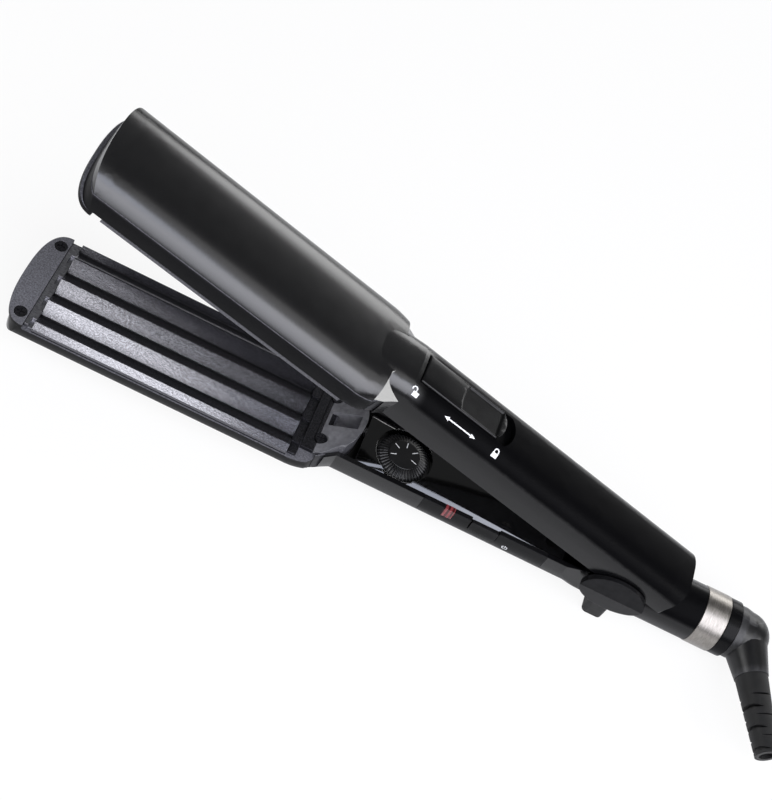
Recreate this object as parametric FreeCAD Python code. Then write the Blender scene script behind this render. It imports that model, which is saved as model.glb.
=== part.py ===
import FreeCAD, Part
import math
import os

Vector = FreeCAD.Vector
os.makedirs("parts", exist_ok=True)

# Frame: millimetres, +Z up, X along the tongs with the tips at -X and the cord at +X.
# X = 0 is the hinge axis, Z = 0 the table under the rest foot.
# The two arms meet at closing_height. Lower parts hang below it.
# Upper parts are drawn closed, above it, then swung open about the hinge.

# overall
closing_height = 23.8
plate_to_hinge = 144.7
hinge_drop = 2.0
open_angle = 17.3
overrun = 2.0
curve_steps = 20

# crimping plates
plate_length = 110.0
plate_half_width = 24.4
wave_pitch = 12.2
wave_depth = 3.6
crest_flat = 0.7
wave_count = 4
hair_gap = 0.8
lip_depth = 2.6
plate_base_half_width = 20.5
plate_base_depth = 6.5
plate_base_end = 5.0

# heads
head_half_width = 25.0
head_depth = 16.4
head_power = 3.0
wall = 2.2
shell_tip = 12.6
shell_shoulder = 2.0
tip_slope = -1.2
tip_power = 2.6
nose_tip = 14.5
nose_shoulder = 4.0
nose_lip = 1.4
nose_lip_depth = 2.3
nose_clear = 0.5
seat_gap = 0.1
groove = 0.4
frame_depth = 9.0
boss_depth = 5.6
spigot_depth = 12.4
spigot_wall = 1.6
frame_tail = 14.0
frame_bar = 4.0

# neck between head and handle, shares of the way from head to handle
neck_start = 0.0
neck_length = 19.0
neck_place_shares = (0.0, 0.26, 0.5, 1.0)
neck_form_shares = (0.0, 0.04, 0.2, 1.0)
mouth_slope = 0.6
facet_side = 20.8
facet_low = 9.4
facet_peak_side = 11.8
facet_peak = 15.2
facet_inset = 0.3
facet_rise = 0.6
ridge_tuck = 0.2

# handles
handle_half_width = 15.5
upper_depth = 18.5
lower_depth = 16.0
handle_power = 3.5
parting_gap = 0.6
upper_end = 22.0
upper_end_shoulder = 18.6
end_corner = 2.2
end_lift = 4.5
end_lift_front = 6.0
end_lift_run = 6.0
arch_rise = 4.0
lower_end = 12.0
lower_taper = 10.0

# hinge
pin_radius = 3.0
running_fit = 0.05
cheek_radius = 9.0
cheek_gap = 0.4
knuckle_radius = 6.5
knuckle_length = 6.0
cap_half_length = 14.0
cap_half_height = 10.0
cap_thickness = 3.2
cap_edge = 1.8
cap_gap = 0.35
spring_wire = 0.6
spring_fit = 0.3
spring_turns = 6
spring_leg = 14.0
spring_leg_share = 0.8

# tail and swivel
tail_radius = 12.4
tail_drop = 11.0
tail_wall = 2.1
tail_nose = 46.0
tail_nose_radius = 5.4
tail_full = 10.0
tail_end = 39.2
band_length = 11.1
band_proud = 0.2
spigot_radius = 11.3
ring_length = 5.4
trunnion_radius = 8.0
flange_radius = 9.3
flange_length = 3.2
flange_gap = 0.4
elbow_gap = 0.4
elbow_angle = 68.0
elbow_collar = 3.0
elbow_collar_radius = 11.5
elbow_run = 6.5
elbow_ball_radius = 10.8
elbow_neck_radius = 10.0
elbow_end_radius = 7.2
elbow_reach = 19.0
relief_radius = 6.9
relief_end_radius = 5.0
relief_length = 34.0
relief_lap = 6.0
relief_slots = 6
relief_slot = 1.6
relief_pitch = 4.4
relief_first = 9.0
cord_radius = 3.2
slip_radius = 4.6
slip_ring_radius = 5.4
slip_ring_width = 3.0
slip_ring_pitch = 7.0
slip_length = 20.0
brush_gap = 0.3
brush_width = 4.0

# lock
slider_front = 123.7
slider_length = 41.0
slider_half_width = 6.9
slider_side_gap = 0.35
slider_travel = 4.5
slider_thickness = 3.0
slider_proud = 0.7
slider_step = 0.9
slider_step_place = 19.0
slider_step_radius = 16.0
slider_ends = 3.0
tray_floor = 1.6
tray_wall = 1.4
stem_front = 10.0
stem_length = 4.0
stem_half_width = 2.0
stem_gap = 0.35
hook_half_width = 2.5
hook_plate = 1.6
hook_drop_gap = 0.5
hook_post_front = 130.2
hook_post = 3.0
hook_toe = 3.0
hook_toe_height = 2.2
hook_foot = 1.0
detent_length = 12.0
detent_half_width = 3.5
detent_thickness = 0.5

# catch ramp on the lower head
ramp_front = 135.0
ramp_length = 15.0
ramp_half_width = 18.4
ramp_low = 1.0
ramp_high = 7.0
ramp_base = 7.0
ramp_slot_half = 3.5
ramp_slot_front = 1.3
ramp_rim = 2.4
ramp_rim_height = 3.0

# plate end pieces
comb_length = 3.7
comb_half_width = 23.0
comb_top = 0.9
comb_notch = 4.6
bracket_lead = 3.9
bracket_length = 5.6
bracket_half_width = 18.2
bracket_top = 0.7
bracket_sheet = 1.1
bracket_screw_place = 10.6
bracket_screw_side = 11.0
nose_screw_place = 7.3
nose_screw_side = 19.0
screw_head_radius = 2.5
screw_head = 1.2
screw_radius = 1.3
screw_length = 6.0
screw_slot = 0.7
screw_slot_depth = 0.6
screw_gap = 0.2
boss_radius = 2.9

# heaters
heater_inset = 12.0
heater_half_width = 11.0
heater_thickness = 2.4
leaf_inset = 20.0
leaf_half_width = 10.0
leaf_thickness = 0.6
leaf_rise = 3.0
lead_radius = 0.8
lead_side = 4.0
lead_length = 34.0

# lower handle deck, dial and board
deck_front = 118.2
deck_end = 24.0
cover_gap = 0.12
deck_edge_drop = 2.2
deck_crown = 1.6
deck_thickness = 1.2
deck_flank = 3.2
dial_place = 100.2
dial_radius = 11.5
dial_top = 0.8
dial_height = 3.4
dial_side = 1.3
dial_gap = 0.7
dial_cup_wall = 0.8
dial_floor = 1.0
dial_under = 0.35
knurls = 44
knurl_depth = 0.7
dial_face_radius = 8.2
dial_face_rise = 0.3
shaft_radius = 3.0
shaft_length = 3.4
pot_half = 6.0
pot_lift = 0.2
board_front = 108.7
board_length = 76.7
board_side = 3.1
board_top = 9.6
board_thickness = 1.6
chip_size = 7.0
chip_height = 1.2
chip_place = 36.0

# side strip with indicator and power button
strip_front = 86.7
strip_length = 56.0
strip_top = parting_gap / 2
strip_bottom = 9.7
lens_front = 77.1
lens_length = 4.4
button_front = 64.7
button_length = 11.9
button_half_height = 2.85
button_gap = 0.35
button_travel = 1.0
button_proud = 0.5
button_skirt = 3.3
button_flange = 1.0
button_flange_half = 1.5
button_corner = 0.6
button_relief = 1.2
button_shelf = 3.5
led_radius = 1.5
led_length = 4.0
switch_size = 6.0
switch_gap = 0.4

# upper inner cover
cover_front = 115.7
cover_end = 24.0
cover_lift = 0.8
cover_thickness = 2.0
cover_rib = 3.0
cover_rib_side = 8.0
cover_screw_places = (72.0, 51.0, 30.0)
cover_boss_radius = 3.0

# feet and handle screws
foot_place = 0.0
foot_length = 9.0
foot_half_width = 15.0
foot_height = 9.0
front_foot_place = 123.7
front_foot_length = 8.0
front_foot_half_width = 9.0
front_foot_drop = 1.0
front_foot_bury = 3.0
handle_screw_places = (92.7, 40.0)
handle_screw_sink = 2.6
handle_screw_length = 5.6

hinge_to_plate = plate_to_hinge + plate_length
plate_front = -hinge_to_plate
plate_back = plate_front + plate_length
hinge_height = closing_height - hinge_drop
tail_height = closing_height - tail_drop
head_back = plate_back + neck_start
handle_front = head_back + neck_length
inner_half = handle_half_width - wall
board_half_width = inner_half - board_side
spring_radius = pin_radius + spring_fit + spring_wire
x_axis = Vector(1, 0, 0)
y_axis = Vector(0, 1, 0)
z_axis = Vector(0, 0, 1)
hinge_point = Vector(0, 0, hinge_height)


def block(x0, x1, y0, y1, z0, z1):
    return Part.makeBox(x1 - x0, y1 - y0, z1 - z0, Vector(x0, y0, z0))


def below(depth):
    return closing_height - depth


def rod(radius, length, x, y, z, axis):
    return Part.makeCylinder(radius, length, Vector(x, y, z), axis)


def pair(shape):
    return [shape, shape.mirror(Vector(0, 0, 0), y_axis)]


def joined(shapes):
    whole = shapes[0]
    for shape in shapes[1:]:
        whole = whole.fuse(shape)
    return whole.removeSplitter()


def turned_over(shape):
    copy = shape.copy()
    copy.rotate(Vector(0, 0, closing_height), x_axis, 180)
    return copy


def swung(shape):
    copy = shape.copy()
    copy.rotate(hinge_point, y_axis, open_angle)
    return copy


def save(name, shape):
    shape.exportStep("parts/" + name + ".step")


# cross section of an arm: a squared-off half oval standing on the closing plane
def arm_wire(x, half_width, depth, power, side, past):
    points = []
    for step in range(curve_steps + 1):
        turn = math.pi * step / curve_steps
        across = math.cos(turn)
        y = half_width * math.copysign(abs(across) ** (2 / power), across)
        z = depth * math.sin(turn) ** (2 / power)
        points.append(Vector(x, y, closing_height + side * z))
    points[0] = Vector(x, half_width, closing_height)
    points[-1] = Vector(x, -half_width, closing_height)
    curve = Part.BSplineCurve()
    curve.interpolate(points)
    low = closing_height - side * past
    right = Vector(x, half_width, low)
    left = Vector(x, -half_width, low)
    edges = [curve.toShape()]
    if past > 0:
        edges.append(Part.makeLine(points[-1], left))
        edges.append(Part.makeLine(left, right))
        edges.append(Part.makeLine(right, points[0]))
    else:
        edges.append(Part.makeLine(points[-1], points[0]))
    return Part.Wire(edges)


def bar(wire, length):
    return Part.Face(wire).extrude(Vector(length, 0, 0))


# plan outline with a rounded front at -X and a rounded back at +X
def plan_wire(front, front_run, back, back_run, half_width, z):
    points = []
    for step in range(curve_steps + 1):
        turn = math.pi * step / curve_steps - math.pi / 2
        across = math.sin(turn)
        y = half_width * math.copysign(abs(across) ** (2 / tip_power), across)
        x = front + front_run - front_run * math.cos(turn) ** (2 / tip_power)
        points.append(Vector(x, y, z))
    points[0] = Vector(front + front_run, -half_width, z)
    points[-1] = Vector(front + front_run, half_width, z)
    nose = Part.BSplineCurve()
    nose.interpolate(points)
    edges = [nose.toShape()]
    if back_run > 0:
        tail_points = []
        for point in points:
            share = (point.x - front) / front_run
            tail_points.append(Vector(back - back_run * share, -point.y, z))
        tail = Part.BSplineCurve()
        tail.interpolate(tail_points)
        edges.append(Part.makeLine(points[-1], tail_points[0]))
        edges.append(tail.toShape())
        edges.append(Part.makeLine(tail_points[-1], points[0]))
    else:
        corner = Vector(back, half_width, z)
        other = Vector(back, -half_width, z)
        edges.append(Part.makeLine(points[-1], corner))
        edges.append(Part.makeLine(corner, other))
        edges.append(Part.makeLine(other, points[0]))
    return Part.Wire(edges)


def plan_solid(front, front_run, back, back_run, half_width, z0, z1):
    face = Part.Face(plan_wire(front, front_run, back, back_run, half_width, z0))
    return face.extrude(Vector(0, 0, z1 - z0))


arm_forms = {}


# one arm as a solid, drawn smaller all round by inset for its hollow
def arm_solid(side, depth, end, inset):
    key = (side, depth, end, inset)
    if key not in arm_forms:
        arm_forms[key] = arm_form(side, depth, end, inset)
    return arm_forms[key]


def arm_form(side, depth, end, inset):
    past = 0
    if inset > 0:
        past = overrun
    start = plate_front - shell_tip - overrun
    head_w = head_half_width - inset
    head_d = head_depth - inset
    hand_w = handle_half_width - inset
    hand_d = depth - inset
    head = bar(arm_wire(start, head_w, head_d, head_power, side, past), head_back - start)
    wires = []
    for place, form in zip(neck_place_shares, neck_form_shares):
        x = head_back + neck_length * place
        w = head_w + (hand_w - head_w) * form
        d = head_d + (hand_d - head_d) * form
        power = head_power + (handle_power - head_power) * form
        wires.append(arm_wire(x, w, d, power, side, past))
    shoulder = Part.makeLoft(wires[:-1], True, False)
    facet = Part.makeLoft(wires[-2:], True, True).cut(facet_cutters(side, inset))
    root = arm_wire(head_back, hand_w, head_d - ridge_tuck, handle_power, side, past)
    ridge = Part.makeLoft([root, wires[-1]], True, True)
    handle = bar(arm_wire(handle_front, hand_w, hand_d, handle_power, side, past), end - handle_front)
    whole = head.fuse([shoulder, facet, ridge, handle])
    tip = plate_front - shell_tip + inset
    run = shell_tip - shell_shoulder
    deep = closing_height + side * (head_depth + overrun)
    mouth = closing_height - side * (past + overrun)
    far = end + overrun
    wide = head_w + overrun
    low = plan_wire(tip, run, far, 0, head_w + seat_gap, mouth)
    high = plan_wire(tip + tip_slope, run, far, 0, head_w + seat_gap, deep)
    nose = Part.makeLoft([low, high], True, True)
    rest = block(head_back, far, -wide, wide, 0, closing_height + closing_height)
    return whole.common(nose.fuse(rest))


# blocks that slice a flat three-cornered facet off each shoulder of the neck
def facet_cutters(side, inset):
    front = head_back + neck_length * neck_place_shares[-2]
    a = Vector(front, -facet_side, closing_height + side * facet_low)
    b = Vector(handle_front, -handle_half_width + facet_inset, a.z + side * facet_rise)
    c = Vector(front, -facet_peak_side, closing_height + side * facet_peak)
    out = (b - a).cross(c - a)
    out.normalize()
    if out.y > 0:
        out = out * -1
    size = head_half_width * 2
    slab = Part.makeBox(size * 2, size * 2, size, Vector(-size, -size, 0))
    slab.Placement = FreeCAD.Placement(a - out * inset, FreeCAD.Rotation(z_axis, out))
    return pair(slab)


# head mouth: the shell stops short where the heat frame shows
def mouth_cut(side):
    x0 = plate_front - shell_tip - overrun
    x1 = plate_back + frame_tail
    deep = side * (frame_depth + groove)
    past = -side * overrun
    points = []
    for x, z in ((x0, past), (x1 + mouth_slope, past), (x1 + mouth_slope, 0), (x1, deep), (x0, deep)):
        points.append(Vector(x, -head_half_width - overrun, closing_height + z))
    face = Part.Face(Part.makePolygon(points + points[:1]))
    return face.extrude(Vector(0, head_half_width * 2 + overrun * 2, 0))


def rim_cut():
    reach = hinge_to_plate + shell_tip + overrun
    half = head_half_width + overrun
    return block(-reach, upper_end + overrun, -half, half, below(parting_gap / 2), below(-parting_gap / 2))


def tail_profile(shrink, x1):
    low = tail_nose_radius - shrink
    full = tail_radius - shrink
    a = Vector(-tail_nose, 0, tail_height - low)
    b = Vector(-tail_full, 0, tail_height - full)
    third = (tail_nose - tail_full) / 3
    poles = [a, Vector(a.x + third, 0, a.z), Vector(b.x - third, 0, b.z), b]
    curve = Part.BezierCurve()
    curve.setPoles(poles)
    end = Vector(x1, 0, b.z)
    axis_end = Vector(x1, 0, tail_height)
    axis_start = Vector(a.x, 0, tail_height)
    edges = [curve.toShape()]
    edges.append(Part.makeLine(b, end))
    edges.append(Part.makeLine(end, axis_end))
    edges.append(Part.makeLine(axis_end, axis_start))
    edges.append(Part.makeLine(axis_start, a))
    face = Part.Face(Part.Wire(edges))
    return face.revolve(Vector(0, 0, tail_height), x_axis, 360)


def shell_bosses(side):
    bosses = []
    nose_x = plate_front - nose_screw_place
    back_x = plate_back + bracket_screw_place
    for x, y in ((nose_x, nose_screw_side), (back_x, bracket_screw_side)):
        rise = head_depth - boss_depth - seat_gap
        z = below(head_depth) if side < 0 else closing_height + boss_depth + seat_gap
        bosses += pair(rod(boss_radius, rise, x, y, z, z_axis))
    return bosses


def screw_bores(side):
    bores = []
    nose_x = plate_front - nose_screw_place
    back_x = plate_back + bracket_screw_place
    for x, y in ((nose_x, nose_screw_side), (back_x, bracket_screw_side)):
        deep = nose_clear + screw_head + screw_length + screw_gap
        z = below(deep) if side < 0 else closing_height
        bores += pair(rod(screw_radius, deep, x, y, z, z_axis))
    return bores


def lower_taper_cut():
    near = inner_half - cheek_gap
    points = []
    for x, y in ((-lower_end - lower_taper, handle_half_width + overrun),
                 (-lower_end - lower_taper, handle_half_width),
                 (-lower_end, near), (overrun, near), (overrun, handle_half_width + overrun)):
        points.append(Vector(x, y, 0))
    face = Part.Face(Part.makePolygon(points + points[:1]))
    return pair(face.extrude(Vector(0, 0, closing_height + overrun)))


def strip_block(gap, deeper):
    return block(-strip_front - gap, -strip_front + strip_length + gap,
                 -handle_half_width - overrun, -inner_half + deeper,
                 below(strip_bottom + gap), below(strip_top - gap))


def make_lower_shell():
    outer = arm_solid(-1, lower_depth, -lower_end, 0)
    inner = arm_solid(-1, lower_depth, -lower_end - wall, wall)
    outer = outer.cut(lower_taper_cut())
    tail = tail_profile(0, tail_end)
    bosses = shell_bosses(-1)
    for place in handle_screw_places:
        rise = lower_depth - board_top - board_thickness
        bosses.append(rod(cover_boss_radius, rise, -place, 0, below(lower_depth), z_axis))
    knuckle = rod(knuckle_radius, inner_half - cheek_gap, 0, 0, hinge_height, y_axis)
    open_top = block(-tail_nose - overrun, -lower_end, -handle_half_width, handle_half_width,
                     closing_height, closing_height * 2)
    skin = outer.fuse(tail).fuse(pair(knuckle)).cut(open_top)
    hollow = inner.fuse(tail_profile(tail_wall, tail_end + overrun))
    spigot = rod(spigot_radius, band_length, tail_end, 0, tail_height, x_axis)
    bore = rod(flange_radius + flange_gap, band_length + overrun * 2,
               tail_end - overrun, 0, tail_height, x_axis)
    skin = skin.fuse(spigot).cut(hollow).cut(bore)
    kept = []
    for boss in bosses:
        kept.append(boss.common(outer))
    side = inner_half - cheek_gap - knuckle_length
    knuckles = pair(rod(knuckle_radius, knuckle_length, 0, side, hinge_height, y_axis))
    shell = skin.fuse(kept + knuckles)
    gap = rod(knuckle_radius + overrun, side * 2, 0, -side, hinge_height, y_axis)
    shell = shell.cut(gap)
    shell = shell.cut([mouth_cut(-1), rim_cut().common(block(-hinge_to_plate * 2, -lower_end,
                       -head_half_width * 2, head_half_width * 2, 0, closing_height * 2))])
    shell = shell.cut(screw_bores(-1))
    shell = shell.cut(rod(pin_radius, handle_half_width * 2, 0, -handle_half_width, hinge_height, y_axis))
    shell = shell.cut(strip_block(seat_gap / 2, wall / 2))
    for place in handle_screw_places:
        z = below(lower_depth)
        shell = shell.cut(rod(screw_head_radius + screw_gap, handle_screw_sink, -place, 0, z, z_axis))
        shell = shell.cut(rod(screw_radius, lower_depth - board_top, -place, 0, z, z_axis))
    return shell


def slider_top():
    return closing_height + upper_depth


def make_upper_shell():
    outer = arm_solid(1, upper_depth, upper_end + overrun, 0)
    inner = arm_solid(1, upper_depth, upper_end + overrun, wall)
    run = upper_end - upper_end_shoulder
    far = hinge_to_plate + shell_tip + overrun
    tall = closing_height + upper_depth + overrun
    end_w = handle_half_width
    end_plan = plan_solid(-far, run, upper_end, run, end_w, 0, tall)
    front = block(-far, -upper_end, -head_half_width, head_half_width, 0, tall)
    outer = outer.common(end_plan.fuse(front)).common(end_profile(far, tall))
    inner_plan = plan_solid(-far, run, upper_end - wall, run, end_w, 0, tall)
    inner = inner.common(inner_plan.fuse(front))
    cheek = rod(cheek_radius, wall, 0, inner_half, hinge_height, y_axis)
    tray_x0 = -slider_front - slider_side_gap - tray_wall
    tray_x1 = -slider_front + slider_length + slider_travel + slider_side_gap + tray_wall
    tray_y = slider_half_width + slider_side_gap + tray_wall
    floor = slider_top() - slider_thickness - tray_floor
    tray = block(tray_x0, tray_x1, -tray_y, tray_y, floor, slider_top()).common(outer)
    bosses = []
    for place in cover_screw_places:
        z = closing_height + cover_lift + cover_thickness
        bosses.append(rod(cover_boss_radius, upper_depth, -place, 0, z, z_axis).common(outer))
    for boss in shell_bosses(1):
        bosses.append(boss.common(outer))
    shell = outer.cut(inner).fuse([tray] + bosses + pair(cheek))
    mouth = mouth_cut(1)
    rim = rim_cut().common(block(-far, -cheek_radius, -head_half_width * 2, head_half_width * 2,
                                 0, closing_height * 2))
    shell = shell.cut([mouth, rim])
    recess = slider_recess()
    x0 = -slider_front + stem_front - stem_gap
    x1 = x0 + stem_length + slider_travel + stem_gap * 2
    slot = block(x0, x1, -stem_half_width - stem_gap, stem_half_width + stem_gap,
                 floor - overrun, slider_top())
    shell = shell.cut([recess, slot])
    shell = shell.cut(screw_bores(1))
    for place in cover_screw_places:
        z = closing_height + cover_lift
        shell = shell.cut(rod(screw_radius, screw_length + cover_thickness, -place, 0, z, z_axis))
    hole = rod(pin_radius + running_fit, handle_half_width * 2, 0, -handle_half_width, hinge_height, y_axis)
    arch = rod(tail_radius + flange_gap, tail_end, 0, 0, tail_height, x_axis)
    arch.rotate(hinge_point, y_axis, -open_angle)
    high = arch.copy()
    high.translate(Vector(0, 0, arch_rise))
    return shell.cut([hole, arch, high])


# side view of the upper arm's end: the wall lifts behind the hinge, with a rounded lower corner
def end_profile(far, tall):
    y = -head_half_width - overrun
    low = closing_height + end_lift
    lean = end_corner * math.sqrt(2) / 2
    bend = Vector(upper_end - end_corner, y, low)
    middle = Vector(bend.x + lean, y, low + end_corner - lean)
    corner = Vector(upper_end, y, low + end_corner)
    points = [corner, Vector(upper_end, y, tall), Vector(-far, y, tall), Vector(-far, y, closing_height)]
    points.append(Vector(end_lift_front, y, closing_height))
    points.append(Vector(end_lift_front + end_lift_run, y, low))
    points.append(bend)
    edges = [Part.Arc(bend, middle, corner).toShape()]
    for start, stop in zip(points, points[1:]):
        edges.append(Part.makeLine(start, stop))
    return Part.Face(Part.Wire(edges)).extrude(Vector(0, -y * 2, 0))


# rounded-rear pocket the lock slider runs in
def slider_recess():
    x0 = -slider_front - slider_side_gap
    x1 = -slider_front + slider_length + slider_travel + slider_side_gap
    y = slider_half_width + slider_side_gap
    z0 = slider_top() - slider_thickness
    return plan_slot(x0, x1, y, z0, slider_top() + overrun)


def plan_slot(x0, x1, y, z0, z1):
    corner = x1 - slider_ends
    a = Vector(x0, -y, z0)
    b = Vector(corner, -y, z0)
    c = Vector(corner, y, z0)
    d = Vector(x0, y, z0)
    arc = Part.Arc(b, Vector(x1, 0, z0), c).toShape()
    wire = Part.Wire([Part.makeLine(a, b), arc, Part.makeLine(c, d), Part.makeLine(d, a)])
    return Part.Face(wire).extrude(Vector(0, 0, z1 - z0))


def make_lock_slider():
    x0 = -slider_front
    x1 = x0 + slider_length
    floor = slider_top() - slider_thickness + seat_gap
    body = plan_slot(x0, x1, slider_half_width, floor, slider_top() + slider_proud)
    shape = arm_wire(x0 - overrun, handle_half_width + slider_proud, upper_depth + slider_proud,
                     handle_power, 1, 0)
    body = body.common(bar(shape, slider_length + overrun * 2))
    step_x = x0 + slider_step_place
    bite = rod(slider_step_radius, slider_thickness, step_x + slider_step_radius, 0,
               slider_top() + slider_proud - slider_step, z_axis)
    bite = bite.common(block(step_x, x1 - slider_ends, -slider_half_width + slider_step,
                             slider_half_width - slider_step, 0, slider_top() * 2))
    body = body.cut(bite)
    sx = x0 + stem_front
    low = slider_top() - slider_thickness - tray_floor - hook_drop_gap
    stem = block(sx, sx + stem_length, -stem_half_width, stem_half_width, low, floor + seat_gap)
    return body.fuse(stem)


def make_lock_hook():
    top = slider_top() - slider_thickness - tray_floor - hook_drop_gap
    low = closing_height + hook_foot
    front = -hook_post_front
    back = -slider_front + stem_front + stem_length
    sheet = top - hook_plate
    points = []
    for x, z in ((front, low), (front + hook_post + hook_toe, low),
                 (front + hook_post + hook_toe, low + hook_toe_height - hook_foot),
                 (front + hook_post, low + hook_toe_height), (front + hook_post, sheet),
                 (back, sheet), (back, top), (front, top)):
        points.append(Vector(x, -hook_half_width, z))
    face = Part.Face(Part.makePolygon(points + points[:1]))
    return face.extrude(Vector(0, hook_half_width * 2, 0))


def make_detent_spring():
    z = slider_top() - slider_thickness - tray_floor - detent_thickness
    x = -slider_front + stem_front + stem_length + slider_travel + overrun
    strip = block(x, x + detent_length, -detent_half_width, detent_half_width, z, z + detent_thickness)
    bump = rod(overrun, detent_half_width * 2, x + overrun, -detent_half_width, z + overrun / 2, y_axis)
    return strip.fuse(bump.common(block(x, x + detent_length, -detent_half_width, detent_half_width,
                                        z - overrun, z + detent_thickness)))


# crimping plate: four ridges with narrow flat crests over a heavy base
def wave_height(y):
    share = (y / wave_pitch) % 1.0
    if share < 0.25:
        return share * 4
    if share < 0.75:
        return 2 - share * 4
    return share * 4 - 4


def make_plate():
    top = below(hair_gap / 2)
    half = wave_depth / 2
    points = [Vector(plate_front, -plate_half_width, top)]
    quarter = wave_pitch / 4
    for count in range(wave_count * 2):
        middle = -plate_half_width + quarter + count * wave_pitch / 2
        lift = half * wave_height(middle)
        shave = crest_flat / 2
        slope = wave_depth / (wave_pitch / 2)
        drop = math.copysign(slope * shave, lift)
        points.append(Vector(plate_front, middle - shave, top + lift - drop))
        points.append(Vector(plate_front, middle + shave, top + lift - drop))
    points.append(Vector(plate_front, plate_half_width, top))
    points.append(Vector(plate_front, plate_half_width, below(lip_depth)))
    points.append(Vector(plate_front, -plate_half_width, below(lip_depth)))
    sheet = Part.Face(Part.makePolygon(points + points[:1])).extrude(Vector(plate_length, 0, 0))
    base = block(plate_front + plate_base_end, plate_back - plate_base_end,
                 -plate_base_half_width, plate_base_half_width, below(plate_base_depth), below(lip_depth))
    return joined([sheet, base])


def make_frame():
    z0 = below(frame_depth)
    tip = plate_front - nose_tip
    run = nose_tip - nose_shoulder
    back = plate_back + frame_tail
    lip = below(nose_lip_depth)
    rim = plan_solid(tip, run, back, run, head_half_width, lip, below(nose_clear))
    side_wall = plan_solid(tip + nose_lip, run - nose_lip, back, run, head_half_width, z0, lip)
    section = arm_wire(tip - overrun, head_half_width, head_depth, head_power, -1, 0)
    form = bar(section, head_back - tip + overrun)
    form = form.fuse(arm_solid(-1, lower_depth, -lower_end, 0))
    body = rim.fuse(side_wall).common(form)
    seat = below(lip_depth + seat_gap)
    wide = head_half_width + overrun
    pocket = block(plate_front - nose_shoulder, back + overrun, -wide, wide, seat, closing_height)
    side = plate_base_half_width + seat_gap
    hole = block(plate_front + frame_bar, plate_back - frame_bar, -side, side, 0, closing_height)
    x0 = plate_front - shell_shoulder
    x1 = plate_back + neck_start
    ring = block(x0, x1, -wide, wide, below(spigot_depth), z0)
    fit = wall + seat_gap
    outer = arm_solid(-1, lower_depth, -lower_end, fit)
    inner = arm_solid(-1, lower_depth, -lower_end, fit + spigot_wall)
    spigot = ring.common(outer).cut(inner)
    body = body.cut(pocket).fuse(spigot).cut(hole)
    bores = []
    nose_x = plate_front - nose_screw_place
    back_x = plate_back + bracket_screw_place
    for x, y in ((nose_x, nose_screw_side), (back_x, bracket_screw_side)):
        bores += pair(rod(screw_radius + screw_gap, closing_height, x, y, 0, z_axis))
        bores += pair(rod(boss_radius + screw_gap, closing_height - boss_depth, x, y, 0, z_axis))
    sink = nose_clear + screw_head
    bores += pair(rod(screw_head_radius + screw_gap, sink, nose_x, nose_screw_side, below(sink), z_axis))
    z = lead_height()
    bores += pair(rod(lead_radius + screw_gap, lead_length, plate_back - heater_inset, lead_side, z, x_axis))
    return body.cut(bores)


def lead_height():
    return below(plate_base_depth + seat_gap + heater_thickness / 2)


def make_front_comb():
    x0 = plate_front - nose_shoulder + seat_gap
    seat = below(lip_depth + seat_gap)
    strip = block(x0, x0 + comb_length, -comb_half_width, comb_half_width, seat, below(comb_top))
    notches = []
    for count in range(wave_count):
        y = -plate_half_width + wave_pitch * (count + 0.25)
        x = x0 + comb_length / 2
        notches.append(block(x, x0 + comb_length + overrun, y - comb_notch / 2, y + comb_notch / 2,
                             seat + seat_gap * 2, closing_height))
    return strip.cut(notches)


def make_rear_bracket():
    seat = below(lip_depth + seat_gap)
    x0 = plate_back + bracket_lead
    x1 = x0 + bracket_length
    raised = block(x0, x1, -bracket_half_width, bracket_half_width, seat, below(bracket_top))
    foot_end = plate_back + bracket_screw_place + screw_head_radius
    foot = block(x1, foot_end, -bracket_half_width + bracket_sheet, bracket_half_width - bracket_sheet,
                 seat, seat + bracket_sheet)
    comb = block(plate_back + screw_gap, x0, -comb_half_width, comb_half_width,
                 seat, seat + bracket_sheet)
    teeth = [raised, foot, comb]
    for count in range(wave_count):
        y = -plate_half_width + wave_pitch * (count + 0.75)
        teeth.append(block(plate_back + screw_gap, x0 + seat_gap, y - comb_notch / 2, y + comb_notch / 2,
                           seat, below(comb_top)))
    body = joined(teeth)
    x = plate_back + bracket_screw_place
    bores = pair(rod(screw_radius + screw_gap, closing_height, x, bracket_screw_side, 0, z_axis))
    heads = pair(rod(screw_head_radius + screw_gap, closing_height, x, bracket_screw_side,
                     seat + bracket_sheet, z_axis))
    return body.cut(bores + heads)


def make_screw(x, y, head_top, length):
    head = rod(screw_head_radius, screw_head, x, y, head_top - screw_head, z_axis)
    shank = rod(screw_radius, length, x, y, head_top - screw_head - length, z_axis)
    arm = screw_head_radius - screw_slot
    z = head_top - screw_slot_depth
    half = screw_slot / 2
    across = block(x - arm, x + arm, y - half, y + half, z, head_top + overrun)
    along = block(x - half, x + half, y - arm, y + arm, z, head_top + overrun)
    return head.fuse(shank).cut([across, along])


def make_nose_screws():
    x = plate_front - nose_screw_place
    top = below(nose_clear)
    return Part.Compound(pair(make_screw(x, nose_screw_side, top, screw_length)))


def make_bracket_screws():
    x = plate_back + bracket_screw_place
    top = below(lip_depth + seat_gap) + bracket_sheet + screw_head
    return Part.Compound(pair(make_screw(x, bracket_screw_side, top, screw_length)))


def make_heater():
    z1 = below(plate_base_depth + seat_gap)
    return block(plate_front + heater_inset, plate_back - heater_inset, -heater_half_width,
                 heater_half_width, z1 - heater_thickness, z1)


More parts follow.
